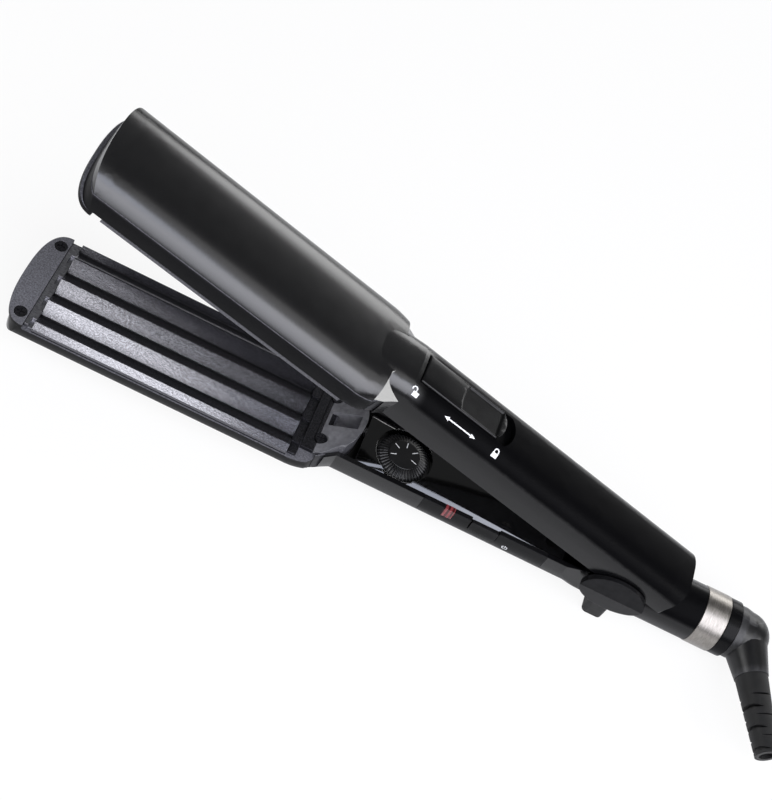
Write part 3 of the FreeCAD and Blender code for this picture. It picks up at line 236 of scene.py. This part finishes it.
# lacquered ABS of the deck: piano black, mirror-like under a clear coat
lacquerAbs = mouldedPlastic({
    "name": "lacquerAbs", "base": "030303", "worn": "1c1c1e", "rough": (0.05, 0.1), "grain": 0.8, "depth": 0.001,
    "wear": 0.1, "level": 0.5, "ior": 1.54, "coat": 1.0})
# fine-sparked ABS of dial and elbow: satin black that shows its form in broad lights
sparkedAbs = mouldedPlastic({
    "name": "sparkedAbs", "base": "09090a", "worn": "58585a", "rough": (0.3, 0.42), "grain": 0.25, "depth": 0.01,
    "wear": 0.7, "level": 0.35, "ior": 1.54})
# semi-polished ABS of the slider: black with narrow edge lights
keyAbs = mouldedPlastic({
    "name": "keyAbs", "base": "070708", "worn": "38383a", "rough": (0.18, 0.26), "grain": 0.3, "depth": 0.002,
    "wear": 0.25, "level": 0.32, "ior": 1.54, "radius": 0.4})
# satin ABS of the side pieces: black, only faintly mirroring the table
satinAbs = mouldedPlastic({
    "name": "satinAbs", "base": "070708", "worn": "38383a", "rough": (0.2, 0.28), "grain": 0.3, "depth": 0.002,
    "wear": 0.25, "level": 0.09, "ior": 1.54, "radius": 0.4})
# moulded thermoplastic rubber: matt, faintly grey, no clear reflections
mattRubber = mouldedPlastic({
    "name": "mattRubber", "base": "0b0b0b", "worn": "2a2a2a", "rough": (0.5, 0.66), "grain": 0.25, "depth": 0.03,
    "wear": 0.4, "level": 0.4, "ior": 1.5})
# polyester switch housings: mid grey and matt
greyPolyester = mouldedPlastic({
    "name": "greyPolyester", "base": "2a2a2c", "worn": "606062", "rough": (0.45, 0.6), "grain": 0.3, "depth": 0.02,
    "wear": 0.35, "level": 0.5, "ior": 1.57})
# zinc-plated steel of screws and springs: bright, softly clouded
zincSteel = workedMetal({
    "name": "zincSteel", "base": "c4c2be", "dark": "8f8d8a", "rough": (0.22, 0.34), "grain": 0.4,
    "streak": (1, 1, 1), "depth": 0.01})
# oxide-blackened pressed steel: near black with a dull metal sheen
oxideSteel = workedMetal({
    "name": "oxideSteel", "base": "5c5c61", "dark": "2c2c2f", "rough": (0.3, 0.45), "grain": 0.4,
    "streak": (1, 1, 1), "depth": 0.01})
# rolled spring steel of the combs: grey, its grain drawn out along the arm
rolledSteel = workedMetal({
    "name": "rolledSteel", "base": "b8b8bd", "dark": "7c7c80", "rough": (0.3, 0.48), "grain": 0.4,
    "streak": (0.3, 1, 1), "depth": 0.01})
# rolled brass of the contacts: warm and half bright
rolledBrass = workedMetal({
    "name": "rolledBrass", "base": "c9a24e", "dark": "8f6d2c", "rough": (0.25, 0.4), "grain": 0.4,
    "streak": (1, 1, 1), "depth": 0.01})
# steel turned in a lathe: fine rings round the band, so lights stretch along it
turnedSteel = workedMetal({
    "name": "turnedSteel", "base": "a8a49e", "dark": "726e6a", "rough": (0.26, 0.42), "grain": 0.6,
    "streak": (6, 0.2, 0.2), "depth": 0.012})
# alumina: warm white and matt
firedAlumina = grainedPiece({
    "name": "firedAlumina", "base": "e6e0d4", "dark": "cfc8ba", "rough": (0.45, 0.65), "grain": 1.0, "depth": 0.02,
    "ior": 1.76})
# woven glass: cream threads, very matt
wovenSleeve = grainedPiece({
    "name": "wovenSleeve", "base": "d8d2c4", "dark": "a39c8c", "rough": (0.7, 0.85), "grain": 0.8, "depth": 0.05,
    "ior": 1.52})
# cast epoxy: red and smooth
castEpoxy = grainedPiece({
    "name": "castEpoxy", "base": "c8453c", "dark": "a02a24", "rough": (0.15, 0.3), "grain": 1.0, "depth": 0.002,
    "ior": 1.55})
# pad-printed ink: white, thin, slightly uneven
padInk = grainedPiece({
    "name": "padInk", "base": "f2f3f4", "dark": "d6d8da", "rough": (0.45, 0.6), "grain": 0.4, "depth": 0.004,
    "ior": 1.5})

# flakes are about 0.05 mm: drawn at 0.4 mm so that they show
# the groove colour, reach, span and samples set the painted shade down in the grooves
plateLook = {"dark": "4c4c50", "base": "7a7a80", "groove": "2a2a2d", "flake": 0.4, "stretch": (0.6, 1, 1),
             "flakeSpan": (0.35, 0.72), "grooveReach": 4.5, "grooveSpan": (0.74, 0.93), "grooveSamples": 6,
             "metal": 0.9, "rough": (0.12, 0.2), "cloud": 22, "cloudRough": (-0.02, 0.03),
             "relief": 0.1, "depth": 0.002}


# ceramic-coated aluminium: metal flakes in a dark sprayed binder, which glint in the light
def coatedAluminium(look):
    mat, tree, bsdf, coord = newMaterial("coatedAluminium")
    place = addNode(tree, "ShaderNodeMapping", None, {"Scale": look["stretch"]}, {"Vector": coord["Object"]})
    flake = addNode(tree, "ShaderNodeTexNoise", None, {"Scale": perMm(look["flake"]), "Detail": 3.0},
                    {"Vector": place.outputs[0]})
    share = addNode(tree, "ShaderNodeMapRange", None,
                    {"From Min": look["flakeSpan"][0], "From Max": look["flakeSpan"][1]},
                    {"Value": flake.outputs["Fac"]})
    tint = addNode(tree, "ShaderNodeMix", mixColour, {6: hexColour(look["dark"]), 7: hexColour(look["base"])},
                   {0: share.outputs["Result"]})
    # painted shade: ambient occlusion darkens the plate's colour towards a groove shade down in the grooves
    groove = addNode(tree, "ShaderNodeAmbientOcclusion", {"samples": look["grooveSamples"]},
                     {"Distance": look["grooveReach"] * mm})
    depth = addNode(tree, "ShaderNodeMapRange", smoothRange,
                    {"From Min": look["grooveSpan"][0], "From Max": look["grooveSpan"][1]},
                    {"Value": groove.outputs["AO"]})
    coat = addNode(tree, "ShaderNodeMix", mixColour, {6: hexColour(look["groove"])},
                   {0: depth.outputs["Result"], 7: tint.outputs[2]})
    tree.links.new(coat.outputs[2], bsdf.inputs["Base Color"])
    bsdf.inputs["Metallic"].default_value = look["metal"]
    cloud = addNode(tree, "ShaderNodeTexNoise", None, {"Scale": perMm(look["cloud"]), "Detail": 2.0},
                    {"Vector": coord["Object"]})
    drift = addNode(tree, "ShaderNodeMapRange", None,
                    {"To Min": look["cloudRough"][0], "To Max": look["cloudRough"][1]}, {"Value": cloud.outputs["Fac"]})
    polish = addNode(tree, "ShaderNodeMapRange", None, {"To Min": look["rough"][0], "To Max": look["rough"][1]},
                     {"Value": flake.outputs["Fac"]})
    rough = addNode(tree, "ShaderNodeMath", {"operation": "ADD"}, None,
                    {0: polish.outputs["Result"], 1: drift.outputs["Result"]})
    tree.links.new(rough.outputs[0], bsdf.inputs["Roughness"])
    bump = addNode(tree, "ShaderNodeBump", None, {"Strength": look["relief"], "Distance": look["depth"] * mm},
                   {"Height": flake.outputs["Fac"]})
    tree.links.new(bump.outputs["Normal"], bsdf.inputs["Normal"])
    return mat


lensLook = {"dark": "4a1519", "base": "944246", "rib": 6, "ribSpan": (0.2, 0.8), "haze": 1.5, "rough": (0.08, 0.2),
            "clear": 0.35, "ior": 1.49, "relief": 0.4, "depth": 0.05}


# tinted acrylic with prisms moulded inside: ribs in relief, with painted highlights and painted shade as pale and dark
# red bars along them
def tintedAcrylic(look):
    mat, tree, bsdf, coord = newMaterial("tintedAcrylic")
    ribs = addNode(tree, "ShaderNodeTexWave", {"bands_direction": "X"}, {"Scale": perMm(look["rib"])},
                   {"Vector": coord["Object"]})
    share = addNode(tree, "ShaderNodeMapRange", None,
                    {"From Min": look["ribSpan"][0], "From Max": look["ribSpan"][1]}, {"Value": ribs.outputs["Fac"]})
    # painted highlights and painted shade: the colour swings between dark and pale red along the ribs
    tint = addNode(tree, "ShaderNodeMix", mixColour, {6: hexColour(look["dark"]), 7: hexColour(look["base"])},
                   {0: share.outputs["Result"]})
    tree.links.new(tint.outputs[2], bsdf.inputs["Base Color"])
    haze = addNode(tree, "ShaderNodeTexNoise", None, {"Scale": perMm(look["haze"])}, {"Vector": coord["Object"]})
    polish = addNode(tree, "ShaderNodeMapRange", None, {"To Min": look["rough"][0], "To Max": look["rough"][1]},
                     {"Value": haze.outputs["Fac"]})
    tree.links.new(polish.outputs["Result"], bsdf.inputs["Roughness"])
    bsdf.inputs["Transmission Weight"].default_value = look["clear"]
    bsdf.inputs["IOR"].default_value = look["ior"]
    bump = addNode(tree, "ShaderNodeBump", None, {"Strength": look["relief"], "Distance": look["depth"] * mm},
                   {"Height": ribs.outputs["Fac"]})
    tree.links.new(bump.outputs["Normal"], bsdf.inputs["Normal"])
    return mat


boardLook = {"mask": ("0f4a26", "145c30"), "track": "2c7a48", "pitch": 9, "haze": 3, "rough": (0.3, 0.45),
             "relief": 0.4, "depth": 0.03}


# glass-epoxy board under solder mask: satin green, with paler tracks raised under the mask
def maskedBoard(look):
    mat, tree, bsdf, coord = newMaterial("maskedBoard")
    tracks = addNode(tree, "ShaderNodeTexBrick", None,
                     {"Scale": perMm(look["pitch"]), "Color1": hexColour(look["mask"][0]),
                      "Color2": hexColour(look["mask"][1]), "Mortar": hexColour(look["track"])},
                     {"Vector": coord["Object"]})
    tree.links.new(tracks.outputs["Color"], bsdf.inputs["Base Color"])
    haze = addNode(tree, "ShaderNodeTexNoise", None, {"Scale": perMm(look["haze"])}, {"Vector": coord["Object"]})
    polish = addNode(tree, "ShaderNodeMapRange", None, {"To Min": look["rough"][0], "To Max": look["rough"][1]},
                     {"Value": haze.outputs["Fac"]})
    tree.links.new(polish.outputs["Result"], bsdf.inputs["Roughness"])
    bump = addNode(tree, "ShaderNodeBump", None, {"Strength": look["relief"], "Distance": look["depth"] * mm},
                   {"Height": tracks.outputs["Fac"]})
    tree.links.new(bump.outputs["Normal"], bsdf.inputs["Normal"])
    return mat


plateCoat = coatedAluminium(plateLook)

finishes = {
    "lower_shell": glossAbs, "upper_shell": glossAbs,
    "lower_frame": filledNylon, "upper_frame": filledNylon, "upper_cover": filledNylon,
    "lower_plate": plateCoat, "upper_plate": plateCoat,
    "lower_front_comb": rolledSteel, "upper_front_comb": rolledSteel,
    "lower_rear_bracket": oxideSteel, "upper_rear_bracket": oxideSteel,
    "lower_nose_screws": oxideSteel, "upper_nose_screws": oxideSteel,
    "lower_bracket_screws": oxideSteel, "upper_bracket_screws": oxideSteel,
    "catch_ramp": satinNylon, "deck": lacquerAbs,
    "temperature_dial": sparkedAbs, "swivel_elbow": sparkedAbs,
    "side_strip": satinAbs, "power_button": satinAbs, "lock_slider": keyAbs,
    "hinge_caps": satinAbs, "tail_ring": satinAbs,
    "indicator_lens": tintedAcrylic(lensLook), "indicator_led": castEpoxy,
    "rest_foot": mattRubber, "front_foot": mattRubber, "strain_relief": mattRubber,
    "steel_band": turnedSteel,
    "contact_brushes": rolledBrass, "slip_rings": rolledBrass,
    "control_board": maskedBoard(boardLook), "potentiometer": greyPolyester, "power_switch": greyPolyester,
    "lower_heater": firedAlumina, "upper_heater": firedAlumina,
    "lower_leads": wovenSleeve, "upper_leads": wovenSleeve,
    "handle_screws": zincSteel, "cover_screws": zincSteel, "hinge_pin": zincSteel,
    "opening_spring": zincSteel, "detent_spring": zincSteel, "lock_hook": zincSteel,
    "lower_heater_leaf": zincSteel, "upper_heater_leaf": zincSteel,
}
for name, obj in nodes.items():
    obj.data.materials.clear()
    obj.data.materials.append(finishes[name])

print("edges")
# small rounded edges in mm, so they catch the light
edgeWidths = {
    "deck": 0.2, "lock_slider": 0.5, "side_strip": 0.2, "tail_ring": 0.3, "steel_band": 0.3,
    "lower_rear_bracket": 0.25, "upper_rear_bracket": 0.25, "lower_front_comb": 0.15, "upper_front_comb": 0.15,
}
softEdge = {"weld": 0.002, "segments": 3, "fromAngle": 40}  # mm, count, degrees
smoothFaces = bpy.data.node_groups.new("smoothFaces", "GeometryNodeTree")
smoothFaces.interface.new_socket("Geometry", in_out="INPUT", socket_type="NodeSocketGeometry")
smoothFaces.interface.new_socket("Geometry", in_out="OUTPUT", socket_type="NodeSocketGeometry")
start = addNode(smoothFaces, "NodeGroupInput")
shade = addNode(smoothFaces, "GeometryNodeSetShadeSmooth", links={"Geometry": start.outputs[0]})
addNode(smoothFaces, "NodeGroupOutput", links={0: shade.outputs[0]})
for name, width in edgeWidths.items():
    stack = nodes[name].modifiers
    stack.new("joinFaces", "WELD").merge_threshold = softEdge["weld"] * mm
    bevel = stack.new("softEdge", "BEVEL")
    bevel.width = width * mm
    bevel.segments = softEdge["segments"]
    bevel.limit_method = "ANGLE"
    bevel.angle_limit = math.radians(softEdge["fromAngle"])
    bevel.use_clamp_overlap = False
    stack.new("smoothFaces", "NODES").node_group = smoothFaces
    stack.new("flatFaces", "WEIGHTED_NORMAL")

print("marks")
arms = {"hinge": 21.8, "closing": 23.8, "open": 17.3}  # heights in mm, opening in degrees
hinge = Vector((0, 0, arms["hinge"] * mm))
openTurn = Matrix.Rotation(math.radians(arms["open"]), 4, "Y")


def onLower(x, y, z):
    # a place in mm, with z from the closing plane
    return Vector((x * mm, y * mm, (arms["closing"] + z) * mm))


def onUpper(x, y, z):
    # the same on the upper arm, given as if closed
    return openTurn @ (onLower(x, y, z) - hinge) + hinge


def addPiece(name, bm, mat, body):
    mesh = bpy.data.meshes.new(name)
    bm.to_mesh(mesh)
    bm.free()
    obj = bpy.data.objects.new(name, mesh)
    bpy.context.scene.collection.objects.link(obj)
    mesh.materials.append(mat)
    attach(obj, body)
    return obj


printing = {"lift": 0.04, "reach": 8, "longEdge": 0.8, "cuts": 2}  # mm, and cuts in each long edge


# flat outlines in mm, laid on a surface and lifted by a print's thickness
def layPrint(name, outlines, origin, along, up, target, body):
    out = along.cross(up).normalized()
    ground = bmesh.new()
    ground.from_mesh(nodes[target].data)
    surface = BVHTree.FromBMesh(ground)
    ground.free()
    bm = bmesh.new()
    for outline in outlines:
        bm.faces.new([bm.verts.new((u, v, 0)) for u, v in outline])
    bmesh.ops.triangulate(bm, faces=bm.faces[:])
    longEdges = [e for e in bm.edges if e.calc_length() > printing["longEdge"]]
    bmesh.ops.subdivide_edges(bm, edges=longEdges, cuts=printing["cuts"])
    bmesh.ops.triangulate(bm, faces=bm.faces[:])
    for v in bm.verts:
        p = origin + along * (v.co.x * mm) + up * (v.co.y * mm)
        hit = surface.ray_cast(p + out * (printing["reach"] * mm), -out)[0]
        v.co = (p if hit is None else hit) + out * (printing["lift"] * mm)
    addPiece(name, bm, padInk, body)


def strip(points, width):
    # outlines of a line of even width, one quad per run, each run on by a quarter width
    quads = []
    for a, b in zip(points, points[1:]):
        d = Vector((b[0] - a[0], b[1] - a[1]))
        n = Vector((-d.y, d.x)).normalized() * (width / 2)
        e = d.normalized() * (width / 4)
        quads.append([(a[0] + n.x - e.x, a[1] + n.y - e.y), (a[0] - n.x - e.x, a[1] - n.y - e.y),
                      (b[0] - n.x + e.x, b[1] - n.y + e.y), (b[0] + n.x + e.x, b[1] + n.y + e.y)])
    return quads


def arcPoints(cx, cy, r, a0, a1, count):
    turns = [math.radians(a0 + (a1 - a0) * i / count) for i in range(count + 1)]
    return [(cx + r * math.cos(t), cy + r * math.sin(t)) for t in turns]


# two padlocks and a double arrow beside the slider, in mm on the closed upper arm
lockMark = {"front": -122.9, "back": -82.4, "side": -11.7, "height": 16.3, "slope": (0, 0.749, 0.663), "line": 0.5,
            "wide": 2.6, "low": -1.4, "high": 0.6,  # the lock's body
            "hoop": 0.95, "hoopHeight": 1.3, "hoopSteps": 8, "legEnd": 0.5, "freeEnd": 0.9, "swing": -1.3,
            "arrowFrom": -108.3, "arrowTo": -92.8, "head": 1.5, "headLong": 1.5, "headWide": 0.6}


def padlock(x, opened):
    half, low, high = lockMark["wide"] / 2, lockMark["low"], lockMark["high"]
    body = [[(x - half, low), (x + half, low), (x + half, high), (x - half, high)]]
    shift = lockMark["swing"] if opened else 0.0
    hoop = arcPoints(x + shift, lockMark["hoopHeight"], lockMark["hoop"], 0, 180, lockMark["hoopSteps"])
    lastEnd = lockMark["freeEnd"] if opened else lockMark["legEnd"]
    hoop = [(hoop[0][0], lockMark["legEnd"])] + hoop + [(hoop[-1][0], lastEnd)]
    return body + strip(hoop, lockMark["line"])


mid = (lockMark["front"] + lockMark["back"]) / 2
arrowFrom, arrowTo, head = lockMark["arrowFrom"] - mid, lockMark["arrowTo"] - mid, lockMark["head"]
long, wide = head * lockMark["headLong"], head * lockMark["headWide"]
shapes = padlock(lockMark["front"] - mid, True) + padlock(lockMark["back"] - mid, False)
shapes += strip([(arrowFrom + head, 0), (arrowTo - head, 0)], lockMark["line"])
shapes.append([(arrowFrom, 0), (arrowFrom + long, -wide), (arrowFrom + long, wide)])
shapes.append([(arrowTo, 0), (arrowTo - long, wide), (arrowTo - long, -wide)])
alongUpper = (openTurn @ Vector((1, 0, 0))).normalized()
acrossUpper = (openTurn @ Vector(lockMark["slope"])).normalized()
layPrint("lockMarks", shapes, onUpper(mid, lockMark["side"], lockMark["height"]), alongUpper, acrossUpper,
         "upper_shell", "upper_arm")

# ribbed cap of the dial, in mm
dialCap = {"x": -100.2, "ribs": 44, "steps": 4, "bite": 0.45, "skirtTop": 21, "faceLean": 0.45,
           # radius, height and rib share of each ring, from the skirt up to the middle of the face
           "rings": ((10.9, 19.7, 0.6), (11.2, 20.0, 1.0), (11.1, 20.9, 1.0), (10.3, 21.7, 1.0), (8.8, 22.4, 1.0),
                     (7.2, 23.0, 1.0), (6.9, 23.12, 0.0), (6.7, 23.25, 0.0), (6.4, 23.3, 0.0), (3.0, 23.3, 0.0))}


def buildDial():
    bm = bmesh.new()
    steps = dialCap["steps"]
    count = dialCap["ribs"] * steps
    rings = []
    for radius, height, share in dialCap["rings"]:
        lean = 1.0 if height < dialCap["skirtTop"] else dialCap["faceLean"]
        ring = []
        for i in range(count):
            turn = 2 * math.pi * i / count
            low = dialCap["bite"] * share if i % steps >= steps / 2 else 0
            reach = radius - low * lean
            drop = low * (1.0 - lean)
            ring.append(bm.verts.new(((dialCap["x"] + reach * math.cos(turn)) * mm, reach * math.sin(turn) * mm,
                                      (height - drop) * mm)))
        rings.append(ring)
    for below, above in zip(rings, rings[1:]):
        for i in range(count):
            j = (i + 1) % count
            bm.faces.new((below[i], below[j], above[j], above[i]))
    bm.faces.new(rings[-1])
    bm.faces.new(list(reversed(rings[0])))
    obj = addPiece("dialCap", bm, sparkedAbs, "dial")
    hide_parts("temperature_dial")


buildDial()

# printed ticks on the dial's face: mm, and turns in radians
dialTicks = {"count": 5, "first": 3.568, "step": -0.975, "inner": 3.6, "outer": 6.0, "line": 0.36,
             "x": -100.2, "z": 25}
shapes = []
for i in range(dialTicks["count"]):
    a = dialTicks["first"] + i * dialTicks["step"]
    ends = [(r * math.cos(a), r * math.sin(a)) for r in (dialTicks["inner"], dialTicks["outer"])]
    shapes += strip(ends, dialTicks["line"])
layPrint("dialTicks", shapes, Vector((dialTicks["x"] * mm, 0, dialTicks["z"] * mm)), Vector((1, 0, 0)),
         Vector((0, 1, 0)), "temperature_dial", "dial")

# power sign on the side strip: mm, and the ring's ends in degrees
powerMark = {"x": -47.4, "y": -17, "z": 16.3, "radius": 1.1, "ring": (120, 420), "steps": 14, "stem": (0.2, 1.5),
             "line": 0.32}
ringFrom, ringTo = powerMark["ring"]
shapes = strip(arcPoints(0, 0, powerMark["radius"], ringFrom, ringTo, powerMark["steps"]), powerMark["line"])
shapes += strip([(0, v) for v in powerMark["stem"]], powerMark["line"])
layPrint("powerMark", shapes, Vector((powerMark["x"] * mm, powerMark["y"] * mm, powerMark["z"] * mm)),
         Vector((1, 0, 0)), Vector((0, 0, 1)), "side_strip", "lower_arm")

# thin liners that close the notch between each heat frame's tail and its shell, in mm
neckLiner = {"line": ((-133.6, 20.4), (-132.2, 19.3), (-130.6, 18.1), (-129.0, 16.9), (-127.6, 15.8)), "thick": 0.7,
             "low": 0.35, "high": 9.2}


def buildLiner(name, place, body, sign):
    bm = bmesh.new()
    thick, low, high = neckLiner["thick"], neckLiner["low"], neckLiner["high"]
    corners = ((0, low), (0, high), (thick, high), (thick, low))
    for side in (-1, 1):
        rows = [[bm.verts.new(place(x, side * (y - inset), sign * level)) for inset, level in corners]
                for x, y in neckLiner["line"]]
        for a, b in zip(rows, rows[1:]):
            for i in range(4):
                j = (i + 1) % 4
                bm.faces.new((a[i], a[j], b[j], b[i]))
        bm.faces.new(rows[0])
        bm.faces.new(rows[-1])
    bmesh.ops.recalc_face_normals(bm, faces=bm.faces[:])
    addPiece(name, bm, filledNylon, body)


buildLiner("upperLiner", onUpper, "upper_arm", 1)
buildLiner("lowerLiner", onLower, "lower_arm", -1)

print("stage")
# paper floor: metres, and the share of plain white near the part, far off and mirrored in gloss
paperFloor = {"half": 3.0, "drop": 0.0005, "paint": "f4f4f4", "near": 0.4, "far": 1.3,
              "nearWhite": 0.88, "farWhite": 1.0, "inGloss": 0.3}
half = paperFloor["half"]
floorMesh = bpy.data.meshes.new("floor")
floorMesh.from_pydata([(-half, -half, 0), (half, -half, 0), (half, half, 0), (-half, half, 0)], [], [(0, 1, 2, 3)])
floor = bpy.data.objects.new("floor", floorMesh)
bpy.context.scene.collection.objects.link(floor)
floor.location.z = -paperFloor["drop"]


# matt white paper, which the camera sees as part white and part shadow
def floorMaterial(look):
    mat = bpy.data.materials.new("mattPaper")
    mat.use_nodes = True
    tree = mat.node_tree
    tree.nodes.clear()
    paint = addNode(tree, "ShaderNodeBsdfDiffuse", None, {"Color": hexColour(look["paint"])})
    glow = addNode(tree, "ShaderNodeEmission", None, {"Color": (1, 1, 1, 1), "Strength": 1.0})
    path = addNode(tree, "ShaderNodeLightPath")
    seen = addNode(tree, "ShaderNodeMath", {"operation": "MAXIMUM"}, None,
                   {0: path.outputs["Is Camera Ray"], 1: path.outputs["Is Transmission Ray"]})
    # near the part the paper keeps its shadow, further off it is plain white
    coord = addNode(tree, "ShaderNodeTexCoord")
    reach = addNode(tree, "ShaderNodeVectorMath", {"operation": "LENGTH"}, None, {0: coord.outputs["Object"]})
    white = addNode(tree, "ShaderNodeMapRange", smoothRange,
                    {"From Min": look["near"], "From Max": look["far"],
                     "To Min": look["nearWhite"], "To Max": look["farWhite"]}, {"Value": reach.outputs["Value"]})
    seen = addNode(tree, "ShaderNodeMath", timesNode, None, {0: seen.outputs[0], 1: white.outputs["Result"]})
    # mirrored in the black shells the paper is part white and keeps more of its shadow
    share = addNode(tree, "ShaderNodeMath", timesAdd, {1: look["inGloss"]},
                    {0: path.outputs["Is Glossy Ray"], 2: seen.outputs[0]})
    mix = addNode(tree, "ShaderNodeMixShader", None, None,
                  {0: share.outputs[0], 1: paint.outputs[0], 2: glow.outputs[0]})
    addNode(tree, "ShaderNodeOutputMaterial", links={"Surface": mix.outputs[0]})
    return mat


floorMesh.materials.append(floorMaterial(paperFloor))

# white behind the floor, a dim room for everything else
studio = {"tint": "dfe1e4", "strength": 0.1, "inGloss": 0.05}
world = bpy.data.worlds.new("studio")
bpy.context.scene.world = world
world.use_nodes = True
tree = world.node_tree
tree.nodes.clear()
path = addNode(tree, "ShaderNodeLightPath")
room = addNode(tree, "ShaderNodeBackground", None,
               {"Color": hexColour(studio["tint"]), "Strength": studio["strength"]})
paper = addNode(tree, "ShaderNodeBackground", None, {"Color": (1, 1, 1, 1), "Strength": 1.0})
seen = addNode(tree, "ShaderNodeMath", {"operation": "MAXIMUM"}, None,
               {0: path.outputs["Is Camera Ray"], 1: path.outputs["Is Transmission Ray"]})
share = addNode(tree, "ShaderNodeMath", timesAdd, {1: studio["inGloss"]},
                {0: path.outputs["Is Glossy Ray"], 2: seen.outputs[0]})
mix = addNode(tree, "ShaderNodeMixShader", None, None,
              {0: share.outputs[0], 1: room.outputs[0], 2: paper.outputs[0]})
addNode(tree, "ShaderNodeOutputWorld", links={"Surface": mix.outputs[0]})

print("lights")
# place, aim and size in metres, power in watts, colour
softboxes = {
    # broad light on the head's near shoulder
    "headBox": ((0.3, -0.95, 0.9), (-0.15, 0, 0.06), (1.5, 1.15), 23, "f2f3fc"),
    # its soft end over the top
    "fillBox": ((0.42, -0.14, 1.02), (-0.15, 0, 0.06), (0.6, 0.6), 1.1, "ffffff"),
    # near flanks of the ridges
    "plateBox": ((-0.25, -0.212, 0.43), (-0.19, -0.012, 0.024), (0.17, 0.032), 0.17, "ffffff"),
    # near edge of the deck
    "deckBox": ((0.14, -0.36, 1.15), (-0.07, 0, 0.02), (0.4, 0.22), 1.2, "e6ecff"),
    # far edges
    "farBox": ((0.5, 1.1, 0.42), (-0.15, 0, 0.06), (1.1, 0.55), 6.4, "ffffff"),
    # nose
    "tipBox": ((-1.1, -0.3, 0.7), (-0.1, 0, 0.04), (0.5, 0.6), 4, "ffffff"),
    # neck facet and tail
    "tailBox": ((0.95, -0.32, 0.54), (-0.12, 0, 0.06), (0.4, 0.4), 5.5, "ffffff"),
}
for name, (place, aim, size, power, colour) in softboxes.items():
    light = bpy.data.lights.new(name, "AREA")
    light.shape = "RECTANGLE"
    light.size, light.size_y = size
    light.energy = power
    light.color = hexColour(colour)[:3]
    box = bpy.data.objects.new(name, light)
    bpy.context.scene.collection.objects.link(box)
    box.location = place
    box.rotation_euler = (Vector(aim) - Vector(place)).to_track_quat("-Z", "Y").to_euler()

print("camera")
# fitted to the photograph: focal length and picture height in pixels, place in metres,
# and the directions of right, down and forward in the picture
photoCamera = {"focal": 1649.77, "picture": 800, "sensor": 36.0, "clip": 0.05, "place": (-0.1738, -0.404, 0.5538),
               "right": (0.8952, 0.2947, 0.3342), "down": (0.4374, -0.7244, -0.5329),
               "forward": (0.0851, 0.6232, -0.7774)}
lens = bpy.data.cameras.new("photoCamera")
lens.sensor_width = photoCamera["sensor"]
lens.lens = photoCamera["focal"] / photoCamera["picture"] * photoCamera["sensor"]
lens.clip_start = photoCamera["clip"]
camera = bpy.data.objects.new("photoCamera", lens)
bpy.context.scene.collection.objects.link(camera)
rows = (photoCamera["right"], photoCamera["down"], photoCamera["forward"])
view = Matrix(rows).transposed() @ Matrix(((1, 0, 0), (0, -1, 0), (0, 0, -1)))
camera.matrix_world = Matrix.Translation(photoCamera["place"]) @ view.to_4x4()
bpy.context.scene.camera = camera

bpy.context.scene.view_settings.view_transform = "Standard"
